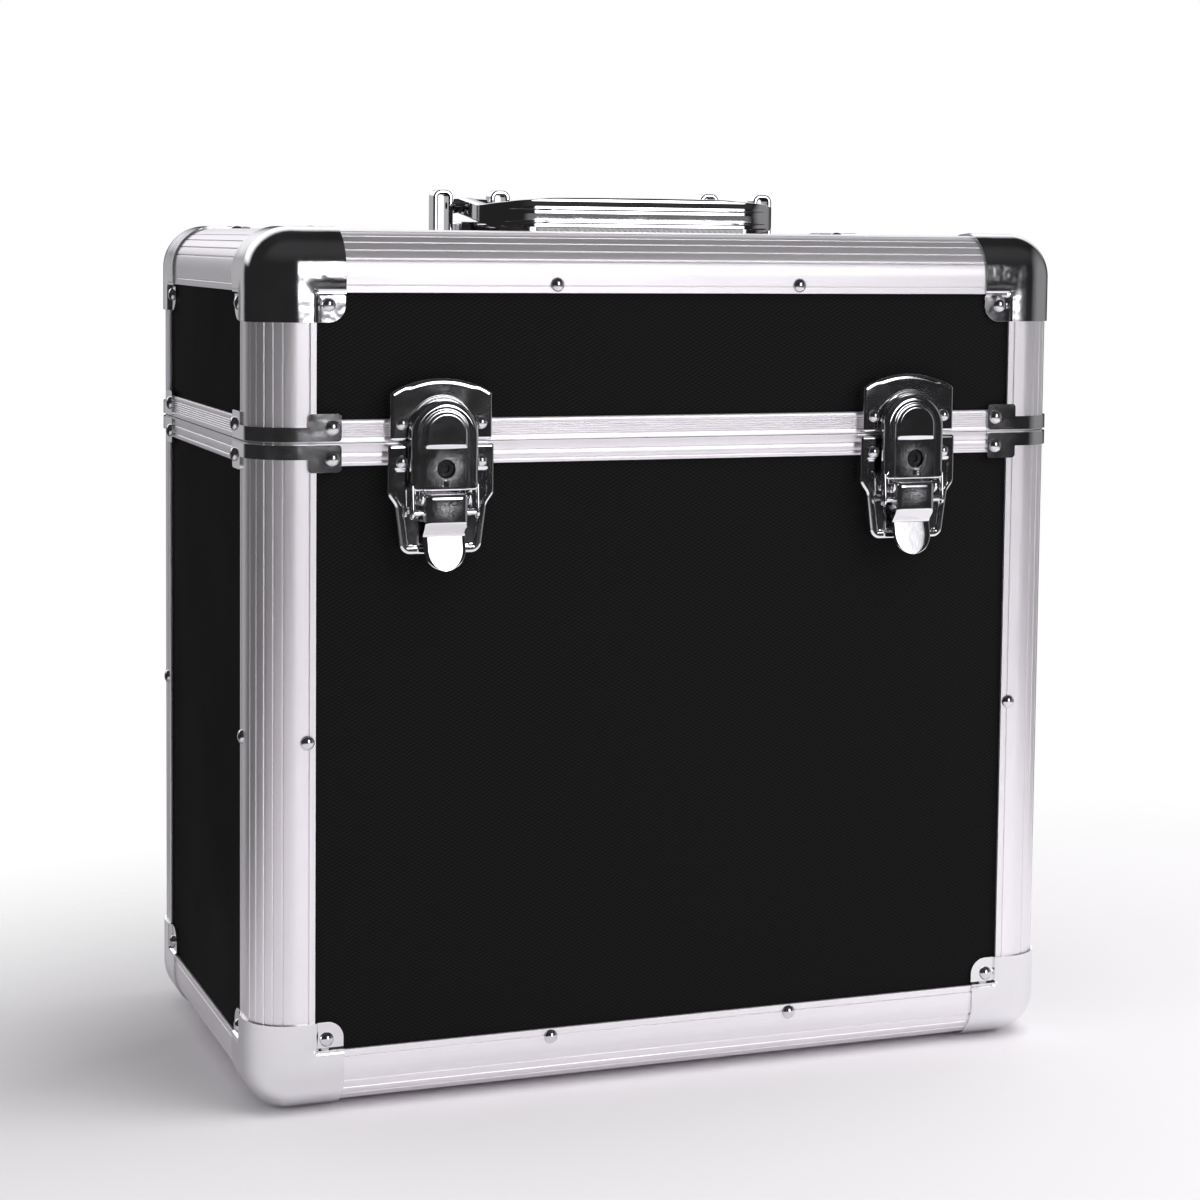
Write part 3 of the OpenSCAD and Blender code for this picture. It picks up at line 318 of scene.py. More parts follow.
# %% [markdown]
# The hardware is bright chrome, which is a mirror with faint smears that change its
# roughness.  The pressed caps are thinner and ripple more, and the latches are worn cloudy
# where thumbs touch them.
# %% Platings
def plated(name, colour, low, high, smear=90.0, ripple=0.02, wave=260.0):
    """Bright plating: smeared roughness and a very slight ripple."""
    finish = Finish(name, colour, 1, low)
    smears = finish.noise(smear, 4, 0.62)
    dark, light = [0.9 * c for c in colour], [min(1, 1.06 * c) for c in colour]
    finish.drive(Roughness=smears.spread(low, high), Base_Color=smears.mixed(dark, light))
    finish.bump(finish.noise(wave, 2), ripple, 0.0004)
    return finish.made


def latch_chrome(name):
    """Chrome whose middle is worn cloudy on the hood's lower panel and on the lever."""
    finish = Finish(name, (0.86, 0.855, 0.875), 1, 0.04)
    x, _, z = finish.axes()
    sideways = x.math("ABSOLUTE") - LATCH_X * MM
    worn = []
    for height, half_width, half_height in ((SEAM - 11, 8.5, 8.5), (SEAM - 26, 7.0, 5.2)):
        u, v = sideways / (half_width * MM), (z - height * MM) / (half_height * MM)
        worn.append((u * u + v * v).math("SQRT").spread(1.0, 0.0, 0.25, 1.15))
    grain = finish.noise(1500.0, 3, 0.7).spread(0.0, 1.0, 0.42, 0.62)
    haze = (worn[0] + worn[1]) * (grain * 0.85 + 0.15)
    finish.drive(Roughness=finish.noise(90.0, 4, 0.62).spread(0.03, 0.09) + haze * 0.18)
    finish.bump(finish.noise(320.0, 2), 0.02, 0.0004)
    return finish.made


CHROME = plated("bright chrome", (0.86, 0.855, 0.875), 0.03, 0.10)
CHROME_CAPS = plated("pressed cap chrome", (0.84, 0.835, 0.855), 0.05, 0.16, smear=40.0,
                     ripple=0.25, wave=110.0)
LATCH_CHROME = latch_chrome("latch chrome")
RIVET_STEEL = plated("rivet steel", (0.74, 0.73, 0.76), 0.10, 0.24, smear=400.0)
ZINC = plated("plated hinge steel", (0.74, 0.74, 0.77), 0.16, 0.34, smear=70.0, ripple=0.05)
print(len(bpy.data.materials), "platings")

# %% [markdown]
# The aluminium is drawn through a die, which leaves fine lines along each bar: noise that
# is stretched fifty times along the bar's axis.  The laminate's diagonal weave is too
# regular for noise, so two sine waves cross on the flat of each panel.
# %% Aluminium and laminate
def anodised(name, along):
    """Satin aluminium with drawing lines along one axis."""
    finish = Finish(name, (0.84, 0.82, 0.855), 0.84, 0.42)
    lines = finish.noise(2600.0, 2, 0.7, [0.02 if axis == along else 1.0 for axis in "xyz"])
    finish.drive(Roughness=(lines + finish.noise(14.0)).spread(0.30, 0.42, 0.6, 1.4),
                 Base_Color=lines.mixed((0.84, 0.815, 0.845), (0.94, 0.91, 0.945)))
    finish.bump(lines, 0.05, 0.0002)
    return finish.made


def woven_laminate(name):
    """Black laminate: ribs 1.44 mm apart that rise at 30 degrees, crossed by fainter ones.

    Seen from outside, level runs to the right and height runs up on every side."""
    finish = Finish(name, (0.0095, 0.0095, 0.0098), 0, 0.5, Specular_IOR_Level=0.004)
    x, y, z = finish.axes()
    nx, ny, nz = finish.axes("Normal")
    level = x * (nz - ny) + y * nx
    height = z + y * nz

    def ribs(pitch, degrees):
        """Straight ribs that rise to the right at an angle."""
        turn, slant = 2 * math.pi / (pitch * MM), math.radians(degrees)
        return (level * (-turn * math.sin(slant)) + height * (turn * math.cos(slant))).math("SINE")

    weave = ribs(1.44, 30) + ribs(1.46, -30) * 0.4
    tone = weave.spread(0, 1, -1.4, 1.4)
    finish.drive(Base_Color=tone.mixed((0.0068, 0.0068, 0.0070), (0.0145, 0.0143, 0.0148)),
                 Roughness=(finish.noise(9.0, 4) + weave * 0.05).spread(0.42, 0.6))
    finish.bump(weave, 0.25, 0.00005)
    return finish.made


ALUMINIUM = {axis: anodised(f"satin aluminium {axis}", axis) for axis in "xyz"}
LAMINATE = woven_laminate("woven black laminate")
print(len(bpy.data.materials), "materials")


# %% [markdown]
# The lock's steel is painted near black as the shade of its sunk hole, the lining is foam and
# the grip has a milky strip.  Small pictures could be tiled on them, but two tones with noise
# between them don't repeat, and the foam's cells are a Voronoi pattern used as a bump.
# %% Lock, foam and strip
def dull(name, colour, metallic, roughness, tones, scale, detail=3):
    """A finish whose colour wanders between two tones."""
    finish = Finish(name, colour, metallic, roughness)
    finish.drive(Base_Color=finish.noise(scale, detail).mixed(*tones))
    return finish


# Painted shade: the lock's dark colour stands for the shadow in its sunk hole and key slot.
steel = dull("lock steel with painted shade", (0.02, 0.02, 0.022), 1, 0.4,
             ((0.008, 0.008, 0.009), (0.045, 0.045, 0.048)), 900.0)
steel.drive(Roughness=steel.noise(500.0, 2).spread(0.3, 0.55))
foam = dull("black foam", (0.02, 0.02, 0.022), 0, 0.9,
            ((0.014, 0.014, 0.016), (0.034, 0.034, 0.037)), 60.0, 4)
cells = add(foam.tree, "ShaderNodeTexVoronoi", Vector=foam.place(), Scale=900.0)
foam.bump(Field(cells.outputs["Distance"]), 0.6, 0.0003)
strip = dull("grip strip", (0.6, 0.59, 0.61), 0, 0.5,
             ((0.52, 0.51, 0.53), (0.76, 0.75, 0.77)), 300.0)
strip.drive(Roughness=strip.noise(800.0, 2).spread(0.35, 0.55))
SHADED_LOCK_STEEL, FOAM, STRIP = steel.made, foam.made, strip.made
print(len(bpy.data.materials), "materials")

# %% [markdown]
# The ten panels stay as the solids that they are.  A list of finishes by hand would have
# to be kept up, so each solid's name picks its finish.
# %% Finishes for the solids
for node_name, node_object in nodes.items():
    if node_name.endswith("panel"):
        finish = LAMINATE
    elif "hinge" in node_name:
        finish = ZINC
    elif "post" in node_name:
        finish = ALUMINIUM["z"]
    elif "rail" in node_name or "rim" in node_name:
        finish = ALUMINIUM["x"]
    else:
        finish = CHROME
    node_object.data.materials.clear()
    node_object.data.materials.append(finish)
print("finishes set on", len(nodes), "solids")

# %% [markdown]
# ## Extruded aluminium
# The real frame is cut from one extruded angle: a grooved outer skin with a rounded
# corner, and an inner angle behind the panels on a diagonal web.  A bevelled box could
# stand for it, but its grooves and its open ends would be missing.  So the section is
# drawn once as a closed outline, and stretched between its two ends for all sixteen bars.
# %% The corner angle's section
GROOVE_STEP = math.radians(12.9) * EDGE_R   # along the skin, between the grooves of the curve
EDGE_LINE = 2.9                             # the groove beside each edge of the skin


def groove_depth(s, grooves):
    """Depth at s of grooves (middle s0, depth d, half width w), each a cosine dip.

    Within its half width a groove sinks the skin by d (1 + cos(pi (s - s0) / w)) / 2."""
    return sum(d * (1 + math.cos(math.pi * (s - s0) / w)) / 2
               for s0, d, w in grooves if abs(s - s0) < w)


def stops_along(grooves, count, *others):
    """Sorted places along a skin: count of them on each groove, and the others."""
    every = [s0 + w * np.linspace(-1, 1, count) for s0, _, w in grooves]
    return sorted(set(np.round(np.concatenate([*every, *others]), 4)))


def outer_line():
    """Points from one leg's end round the corner to the other, with its grooves cut in."""
    flat, arc = EDGE_LEG - EDGE_R, EDGE_R * math.pi / 2
    end = 2 * flat + arc
    grooves = [(end / 2 + i * GROOVE_STEP, 0.34, 0.42) for i in range(-2, 3)]
    grooves += [(s, 0.24, 0.32) for s in (EDGE_LINE, end - EDGE_LINE)]
    out = []
    for s in stops_along(grooves, 11, np.linspace(0.35, flat, 8), np.linspace(flat, flat + arc, 46),
                         np.linspace(flat + arc, end - 0.35, 8)):
        if s < flat:
            point, normal = (EDGE_LEG - s, 0), (0, -1)
        elif s > flat + arc:
            point, normal = (0, EDGE_R + s - flat - arc), (-1, 0)
        else:
            a = -math.pi / 2 - (s - flat) / EDGE_R
            normal = (math.cos(a), math.sin(a))
            point = (EDGE_R + EDGE_R * normal[0], EDGE_R + EDGE_R * normal[1])
        sink = groove_depth(s, grooves)
        out.append((point[0] - sink * normal[0], point[1] - sink * normal[1]))
    return out


def angle_section():
    """The whole section of the corner angle as one closed outline."""
    inner, half_web, corner, lip = EDGE_R - EDGE_T, INNER_T / 2, SLOT_IN + INNER_T, 0.3
    part = [(0, EDGE_LEG - 0.1), (lip, EDGE_LEG),
            (EDGE_T - lip, EDGE_LEG), (EDGE_T, EDGE_LEG - lip)]
    part += [(EDGE_R + inner * math.cos(a), EDGE_R + inner * math.sin(a))
             for a in np.linspace(math.pi, 1.25 * math.pi - math.asin(half_web / inner), 10)]
    part += [(SLOT_IN, SLOT_IN + half_web * math.sqrt(2)), (SLOT_IN, EDGE_LEG), (corner, EDGE_LEG)]
    return np.array(outer_line() + part + [(corner, corner)] + [(v, u) for u, v in part[::-1]])


ANGLE = angle_section()
print("angle section:", len(ANGLE), "points")

# %% [markdown]
# Eight upright posts and eight rails lie along the edges and end under the ball corners.
# One bar could be copied and mirrored, but a mirror turns the normals inside out, so each
# bar is laid out anew from its distances to the outer faces.
# %% Posts and rails
SIDES = {"left": -1, "right": 1}
FRONTS = {"front": -1, "back": 1}
HALVES = (("base", "bottom", -1, (FLOOR + RAIL_CUT, SEAM - SEAM_GAP / 2)),
          ("lid", "top", 1, (SEAM + SEAM_GAP / 2, TOP - RAIL_CUT)))
SPAN_X = (RAIL_CUT - HALF_W, HALF_W - RAIL_CUT)
SPAN_Y = (SHELL_Y - HALF_D + RAIL_CUT, SHELL_Y + HALF_D - RAIL_CUT)


def in_x(side, depth):
    return side * (HALF_W - depth)


def in_y(side, depth):
    return SHELL_Y + side * (HALF_D - depth)


def in_z(side, depth):
    return FLOOR + depth if side < 0 else TOP - depth


def bar(axis, span, first, second):
    """A bar along an axis; its section is given by the two other coordinates, in order."""
    ends = [np.column_stack([first, second, np.full(len(first), float(at))]) for at in span]
    order = {"x": (2, 0, 1), "y": (0, 2, 1), "z": (0, 1, 2)}[axis]
    return tube(np.stack(ends)[..., order])


def drawn(name, bars, body, axis, crease=55):
    """Aluminium bars that stand for the solid of that name."""
    piece(name + "_drawn", bars, body, [name], ALUMINIUM[axis], crease=crease)


depth_u, depth_v = ANGLE.T
for half, level, z_side, heights in HALVES:
    for side, sx in SIDES.items():
        for front, sy in FRONTS.items():
            drawn(f"{half}_post_{front}_{side}",
                  [bar("z", heights, in_x(sx, depth_u), in_y(sy, depth_v))], half, "z")
    for front, sy in FRONTS.items():
        drawn(f"{level}_rail_{front}",
              [bar("x", SPAN_X, in_y(sy, depth_u), in_z(z_side, depth_v))], half, "x")
    for side, sx in SIDES.items():
        drawn(f"{level}_rail_{side}",
              [bar("y", SPAN_Y, in_x(sx, depth_u), in_z(z_side, depth_v))], half, "y")
print("sixteen drawn angles")

# %% [markdown]
# ## The rims at the seam
# The base rim carries a tongue and the lid rim the groove that closes over it, which keeps
# dust out of the real case.  The lid rim is finely ribbed outside, and the base rim has
# two grooves, so both are sections like the angle's and not boxes with a bump map.
# %% Rim sections
def lined_edge(lines, depth, width):
    """The rim's outer face from the seam up, with a groove at each line."""
    grooves, edge = [(line, depth, width) for line in lines], 0.25
    return [(groove_depth(v, grooves), v) for v in stops_along(grooves, 9, [0.0, RIM_H - edge])
            ] + [(edge, RIM_H), (EDGE_T, RIM_H)]


def rim_section(lid):
    """Depth and distance from the seam of the lid's or the base's rim."""
    web = RIM_WEB
    if lid:
        web += TONGUE_H + TONGUE_GAP
        outer = lined_edge([RIM_H / 2 + (i - 2.5) * 0.95 for i in range(6)], 0.24, 0.34)
        g0, g1, top = TONGUE_U - TONGUE_GAP, TONGUE_U + TONGUE_T + SWING_GAP, TONGUE_H + TONGUE_GAP
        seam_side = [(g0, 0), (g0, top), (g1, top), (g1, 0)]
    else:
        outer = lined_edge((3.6, 7.2), 0.32, 0.36)
        t0, t1, edge = TONGUE_U, TONGUE_U + TONGUE_T, 0.4
        seam_side = [(t0, 0), (t0, edge - TONGUE_H), (t0 + edge, -TONGUE_H),
                     (t1 - edge, -TONGUE_H), (t1, edge - TONGUE_H), (t1, 0)]
    return np.array(outer[::-1] + seam_side + [(LINING_IN, 0), (LINING_IN, RIM_LIP),
                                               (SLOT_IN, RIM_LIP), (SLOT_IN, web), (EDGE_T, web)])


for body, sign in (("base", -1), ("lid", 1)):
    depth, rise = rim_section(body == "lid").T
    height = SEAM + sign * SEAM_GAP / 2 + sign * rise
    drawn(f"{body}_rim", [bar("x", SPAN_X, in_y(sy, depth), height) for sy in (-1, 1)]
          + [bar("y", SPAN_Y, in_x(sx, depth), height) for sx in (-1, 1)], body, "x", crease=50)
print("rims drawn")

# %% [markdown]
# ## Ball corners
# The real cap is pressed from one sheet.  A sphere joined to three plates would leave
# seams, so it is three faces of a rounded cube.  For a point p on a face of the cube, c is
# p held at least R inside all faces, and the surface is c + R (p - c) / |p - c|.  Beyond
# both legs of the angles the sheet steps down to the panel and ends in an ear.
# %% The cap's surface
CAP_R, REACH = EDGE_R + CAP_T, CAP_LEG + CAP_T
STEP_FROM, STEP_TO = EDGE_LEG + CAP_T + 0.1, EDGE_LEG + CAP_T + 1.3
# Hollows before an ear: depth, place before the step, width, and where each fades in.
HOLLOWS = ((0.35, 0.5, 0.5, 1, 22, 24), (0.2, 1.6, 2.4, 7, 16, 20))


def cap_stops():
    """Positions along an edge of the cap: even angles round the ball, then the flat."""
    ball = CAP_R * (1 - np.tan(math.pi / 4 * (1 - np.linspace(0, 1, 19))))
    return np.concatenate([ball[:-1], np.linspace(CAP_R, REACH - CAP_EAR, 28)[:-1],
                           np.linspace(REACH - CAP_EAR, REACH, 11)])


def cap_face():
    """One face of the cap, from its outer corner, as a grid of (a, b, depth)."""
    stops = cap_stops()
    x, y = np.meshgrid(stops, stops, indexing="ij")
    a, b = (np.clip((value - REACH + CAP_EAR) / CAP_EAR, 0, 1) for value in (x, y))
    x = np.where(a * b > 0, REACH - CAP_EAR + CAP_EAR * a * np.sqrt(1 - b * b / 2), x)
    y = np.where(a * b > 0, REACH - CAP_EAR + CAP_EAR * b * np.sqrt(1 - a * a / 2), y)
    raw = np.stack([x, y, 0 * x], -1)
    held = np.maximum(raw, CAP_R)
    away = raw - held
    surface = held + CAP_R * away / np.linalg.norm(away, axis=-1)[..., None]
    near, far = np.minimum(x, y), np.maximum(x, y)
    down = EDGE_T * smooth(x, STEP_FROM, STEP_TO) * smooth(y, STEP_FROM, STEP_TO)
    for depth, place, width, reach, start, end in HOLLOWS:
        hollow = depth * np.exp(-((near - STEP_FROM + place) / width) ** 2)
        down += hollow * smooth(far, STEP_FROM - reach, STEP_FROM + 1) * smooth(near, start, end)
    surface[..., 2] += down
    return surface


face = cap_face()
CAP = [grid(face[..., order]) for order in ((0, 1, 2), (0, 2, 1), (2, 0, 1))]
print("cap:", sum(len(quads) for _, quads in CAP), "quads")

# %% [markdown]
# All eight ball corners are the same pressing.  Its patches are flipped by a matrix with
# one sign for each axis, and a point inside then tells which way the normals go.
# %% Eight caps
for level, body in (("bottom", "base"), ("top", "lid")):
    for side, sx in SIDES.items():
        for front, sy in FRONTS.items():
            flip = np.diag([-sx, -sy, 1 if level == "bottom" else -1])
            corner = [sx * (HALF_W + CAP_T), SHELL_Y + sy * (HALF_D + CAP_T),
                      FLOOR - CAP_T if level == "bottom" else TOP + CAP_T]
            inside = np.array(corner) + flip @ np.full(3, 30.0)
            name = f"{level}_cap_{front}_{side}"
            piece(name + "_pressed", [moved(patch, flip, corner) for patch in CAP], body, [name],
                  CHROME_CAPS, thick=CAP_T, bevel=0.22, facing=inside)
print("eight caps")

# %% [markdown]
# ## Rivets
# Each rivet is a turned dome with a small collar.  Typing their places again could put one
# beside its hole, so place and direction are read from the solid that a rivet stands for:
# the thin side of the solid's box is its axis.
# %% Rivet heads
def islands(node):
    """Boxes of the separate solids in a node, in mm."""
    mesh = nodes[node].data
    points = np.zeros(len(mesh.vertices) * 3)
    mesh.vertices.foreach_get("co", points)
    points = np.round(points.reshape(-1, 3) / MM, 3)
    _, same = np.unique(points, axis=0, return_inverse=True)
    same = same.ravel()
    parent = np.arange(same.max() + 1)

    def root(i):
        while parent[i] != i:
            parent[i] = parent[parent[i]]
            i = parent[i]
        return i

    for edge in mesh.edges:
        a, b = root(same[edge.vertices[0]]), root(same[edge.vertices[1]])
        parent[a] = b
    roots = np.array([root(i) for i in same])
    return [(points[roots == r].min(0), points[roots == r].max(0)) for r in np.unique(roots)]


def rivet_patch(low, high):
    """A dome that fills the box: radius r, height h, with a small flat collar."""
    size = high - low
    axis = int(np.argmin(size))
    centre = (low + high) / 2
    sign = 1 if centre[axis] > (0, SHELL_Y, (FLOOR + TOP) / 2)[axis] else -1
    r, h = (size.sum() - size[axis]) / 4, size[axis]
    dome = [(r * 0.96 * math.sin(a), 0.12 * h + 0.88 * h * math.cos(a))
            for a in np.linspace(0, math.pi / 2, 9)[1:]]
    vertices, faces = lathe([(0, h)] + dome + [(r, 0.06 * h), (r, 0), (0, 0)], 28)
    turn = np.zeros((3, 3))
    turn[axis, 2] = sign
    turn[(axis + 1) % 3, 0] = turn[(axis + 2) % 3, 1] = 1
    seat = centre.copy()
    seat[axis] -= sign * h / 2
    return moved((vertices, faces), turn, seat)


for name, body in (("base_rivets", "base"), ("lid_rivets", "lid")):
    heads = [rivet_patch(low, high) for low, high in islands(name)]
    piece(name + "_domed", heads, body, [name], RIVET_STEEL, crease=50)
    print(name, len(heads), "heads")

# %% [markdown]
# ## Straps at the seam
# A strap is a sheet bent round a post.  Its flat blank could be bent by a modifier, but a
# grid over path and height gives cleaner edges.  Along its path it is as tall as the band,
# and from the start of each ear it rises to the ear's height, with rounded corners.
# %% Strap surface
STRAP_BAND, STRAP_EAR, STRAP_START = 5.8, 11.2, 21.8
STRAP_END, STRAP_R, STRAP_GAP = 35.6, 1.6, 0.7


def strap_patch():
    """Rows along the path (a, b in plan), columns up from the seam."""
    arc = np.linspace(0, math.pi / 2, 8)
    side = [*(STRAP_END - STRAP_R * (1 - np.cos(arc))),
            *np.linspace(STRAP_END - STRAP_R, STRAP_START + STRAP_R, 8)[1:],
            *(STRAP_START + STRAP_R * (1 - np.sin(arc[1:]))), STRAP_START - 0.01]
    plan = [(a, -CAP_T) for a in side]
    plan += [(EDGE_R + CAP_R * math.cos(t), EDGE_R + CAP_R * math.sin(t))
             for t in np.linspace(-math.pi / 2, -math.pi, 26)]
    plan += [(b, a) for a, b in plan[:len(side)][::-1]]
    rows = []
    for a, b in plan:
        reach = max(a, b)
        end = max(0, STRAP_R - (STRAP_END - reach))
        cut = STRAP_R - math.sqrt(max(0, STRAP_R ** 2 - end ** 2))
        top = STRAP_BAND
        if reach >= STRAP_START:
            start = max(0, STRAP_R - (reach - STRAP_START))
            top = STRAP_EAR - max(cut, STRAP_R - math.sqrt(max(0, STRAP_R ** 2 - start ** 2)))
        levels = [*np.linspace(cut, STRAP_BAND, 7), *np.linspace(STRAP_BAND, top, 7)[1:]]
        rows.append([(a, b, STRAP_GAP + z) for z in levels])
    return grid(rows)


STRAP = strap_patch()
for name, body, up in (("base_seam_straps", "base", -1), ("lid_seam_straps", "lid", 1)):
    four = [moved(STRAP, np.diag([-sx, -sy, up]), [sx * HALF_W, SHELL_Y + sy * HALF_D, SEAM])
            for sx in (-1, 1) for sy in (-1, 1)]
    piece(name + "_bent", four, body, [name], CHROME_CAPS, thick=CAP_T, bevel=0.2,
          crease=45, facing=[0, SHELL_Y, SEAM])
print("straps bent")

# %% [markdown]
# ## Latches
# Latch pieces are drawn with u across, v up from the seam and w out of the front face.
# Their steps and ridges could be sculpted, but chrome shows every dent.  So a pressed part
# is a radial grid: rows run from the foot of its bent edge, round the bend and on towards
# its middle, and a height function w(u, v) gives every step and ridge.
# %% Pressed sheets
def row_places(inner, target, level, stops):
    """How far along its ray, from the outline to the middle, each row's points lie.

    stops are pairs (value of level, rows up to it).  The point t of a row solves
    level(inner + t (target - inner)) = value, so rows run along the curves of a step."""
    t = np.linspace(0, 1, 500)
    found = np.array([level(inner + (target - inner) * k) for k in t])
    found = np.maximum.accumulate(found, axis=0) + 0.01 * t[:, None]
    rows, last = [], found[0]
    for value, count in stops:
        rows += [last + (value - last) * k / count for k in range(1, count + 1)]
        last = np.full(len(inner), float(value))
    return [np.maximum([np.interp(want, found[:, i], t) for i, want in enumerate(row)],
                       0.003 * (k + 1)) for k, row in enumerate(rows)]


def pressed(outline, centre, height, foot, bend=1.2, hole=0.0, rings=56, level=None, stops=()):
    """Rows of points (u, v, w) from the sheet's outer foot to its middle or its hole.

    bend is the radius of the bent edge, one value or one for each outline point."""
    centre = np.asarray(centre, float)
    normal = outward(outline)
    bend = np.broadcast_to(bend, len(outline))
    inner = outline - bend[:, None] * normal
    face = height(inner)
    rows = [np.column_stack([outline, np.broadcast_to(foot, face.shape)])]
    for a in np.linspace(0, math.pi / 2, 8):
        rows.append(np.column_stack([outline - bend[:, None] * (1 - math.cos(a)) * normal,
                                     face - bend + bend * math.sin(a)]))
    away = inner - centre
    target = centre + hole * away / np.linalg.norm(away, axis=1)[:, None]
    places = row_places(inner, target, level, stops) if stops else [np.zeros(len(outline))]
    places += [places[-1] + (1 - places[-1]) * k / rings for k in range(1, rings + 1)]
    for t in places[0 if stops else 1:]:
        ring = inner + (target - inner) * t[:, None]
        rows.append(np.column_stack([ring, height(ring)]))
    if hole:
        rim = rows[-1]
        rows += [rim - [0, 0, drop] for drop in (0.25, 1.0, 2.0)]
    return grid(np.stack(rows), close_cols=True)


def front(x):
    """The matrix and shift from latch coordinates to the world, at a latch's middle."""
    return np.array([[1, 0, 0], [0, 0, -1], [0, 1, 0]]), [x, SHELL_Y - HALF_D, SEAM]


def across(patch):
    """Turns a plate drawn in (v, w) with its thickness along u into (u, v, w)."""
    vertices, faces = patch
    return vertices[:, [2, 0, 1]], faces


def both(patch):
    """A patch and its mirror image across u = 0."""
    vertices, faces = patch
    return [patch, (vertices * [-1, 1, 1], [face[::-1] for face in faces])]


print("pressing ready")

# %% [markdown]
# The keeper is the plate on the lid that the hood closes over, with three arched steps
# pressed into it.  Rings laid on a plate would show seams, so the height itself rises in
# three smooth steps, and the rows of points run along them.
# %% The keeper
LIFT = 0.05                                 # between a bent edge and the rim or the panel
KEEPER_TOP, KEEPER_SHOULDER, KEEPER_ARCH = 26.4, 20.2, 42.0
BOSS_R, BOSS_Z, BOSS_STEP = 13.8, 5.4, 0.8


def keeper_outline():
    arch = [(u, KEEPER_TOP - KEEPER_ARCH + math.sqrt(KEEPER_ARCH ** 2 - u * u))
            for u in np.linspace(19.4, -19.4, 23)]
    half = KEEPER_W / 2
    points = [(-half, STRAP_GAP), (half, STRAP_GAP), (half, KEEPER_SHOULDER), *arch,
              (-half, KEEPER_SHOULDER)]
    return resampled(rounded(points, [1.3, 1.3, 1.6, 1.5] + [0] * 21 + [1.5, 1.6]), 0.45)


def boss_inset(p):
    """How far a point lies inside the keeper's arched boss."""
    u, v = p[:, 0], p[:, 1]
    return BOSS_R - np.where(v > BOSS_Z, np.hypot(u, v - BOSS_Z), np.abs(u))


def keeper_height(p):
    """The plate, and three arched steps that the hood closes over."""
    steps = sum(smooth(boss_inset(p) - 0.3 - i, -0.22, 0.22) for i in range(3))
    return PLATE_RISE + BOSS_STEP * steps


outline = keeper_outline()
on_panel = outline[:, 1] > RIM_H
edge = 1.2 + 0.9 * smooth(17.0 - np.abs(outline[:, 0]), 0, 4) * on_panel
KEEPER = pressed(outline, (0, BOSS_Z), keeper_height, LIFT - EDGE_T * on_panel, bend=edge,
                 rings=10, level=boss_inset, stops=((0.0, 10), (2.6, 26)))
print("keeper:", len(KEEPER[0]), "points")

# %% [markdown]
# The base plate is riveted below the seam, narrows at a waist and has two ears for the
# lever's pin.  Its edge could be traced point by point, but a half width that depends on
# the depth keeps both sides equal.
# %% The base plate
WAIST_FROM, WAIST_TO, WAIST_W, FOOT_W, FOOT_R = 20.4, 27.0, 38.8, 34.0, 4.6


def plate_half(depth):
    """Half the width of the base plate: an S curve at the waist, then a taper."""
    t = np.clip((depth - WAIST_FROM) / (WAIST_TO - WAIST_FROM), 0, 1)
    u = np.clip((depth - WAIST_TO) / (PLATE_DROP - WAIST_TO), 0, None)
    waist = (PLATE_W - WAIST_W) / 2 * (1 - np.cos(math.pi * t)) / 2
    return PLATE_W / 2 - waist - (WAIST_W - FOOT_W) / 2 * u


def plate_outline():
    depths = np.concatenate([[STRAP_GAP], np.linspace(WAIST_FROM - 1, WAIST_TO + 1, 19)])
    side = [(float(plate_half(d)), -float(d)) for d in depths]
    foot = float(plate_half(PLATE_DROP - FOOT_R)) - FOOT_R
    corner = [(foot + FOOT_R * math.cos(a), FOOT_R - PLATE_DROP - FOOT_R * math.sin(a))
              for a in np.linspace(0, math.pi / 2, 9)]
    edge = side + corner
    points = [(-u, v) for u, v in edge] + edge[::-1]
    radii = [1.3] + [0] * (len(points) - 2) + [1.3]
    return resampled(rounded(points, radii), 0.45)


def plate_height(p):
    """The base plate, pressed in along its middle below the rivets."""
    u, v = np.abs(p[:, 0]), -p[:, 1]
    inset = np.minimum(plate_half(v) - u, PLATE_DROP - v)
    return PLATE_RISE - 0.55 * smooth(inset, 3.0, 3.6) * smooth(v, 10.5, 11.5)


outline = plate_outline()
PLATE = pressed(outline, (0, -23), plate_height, LIFT - EDGE_T * (outline[:, 1] < -RIM_H))
ear = rounded([(-25.3, 4.4), (-19.3, 4.4), (-19.3, 12.3), (-25.3, 12.3)], [0, 0, 2.95, 2.95])
EARS = both(across(slab(ear, 9.4, 10.6)))
print("base plate:", len(PLATE[0]), "points")

# %% [markdown]
# The hood is the cover with the key hole.  A flat face with a bump map wouldn't catch the
# light at its edges, so its raised panel, the second rise above the seam and the key slot
# are all part of the height.
# %% The hood
HOOD_W, HOOD_Y, HOOD_BACK, HOOD_BOTTOM = 28.6, 10.8, 7.7, 19.3
HOOD_PANEL, HOOD_PANEL_X, HOOD_ARCH = 0.8, 9.6, 2.9
CORE_R, CORE_Z, CORE_FACE = 3.7, 10.4, 10.4


def hood_outline():
    half = HOOD_W / 2
    arch = [(half * math.cos(a), HOOD_ARCH + half * math.sin(a))
            for a in np.linspace(0, math.pi, 61)]
    points = [(-half, -HOOD_BOTTOM), (half, -HOOD_BOTTOM), *arch]
    return resampled(rounded(points, [2.3, 2.3] + [0] * 61), 0.32)


def hood_inset(p):
    """How far a point lies inside the hood's raised middle panel."""
    u, v = p[:, 0], p[:, 1] - HOOD_ARCH - 1.0
    return HOOD_PANEL_X - np.where(v > 0, np.hypot(u, v), np.abs(u))


def hood_height(p):
    """The cover: a raised middle panel, a second rise above the seam, and a key slot."""
    u, v = p[:, 0], p[:, 1]
    inset = hood_inset(p)
    slot = smooth(1.1 - np.abs(u), -0.12, 0.12) * smooth(1.3 - np.abs(v + 16.2), -0.12, 0.12)
    return (HOOD_Y + HOOD_PANEL * smooth(inset, -0.3, 0.3)
            + HOOD_PANEL * smooth(inset, 0.7, 1.7) * smooth(v, -2.0, -0.6) - 0.9 * slot)


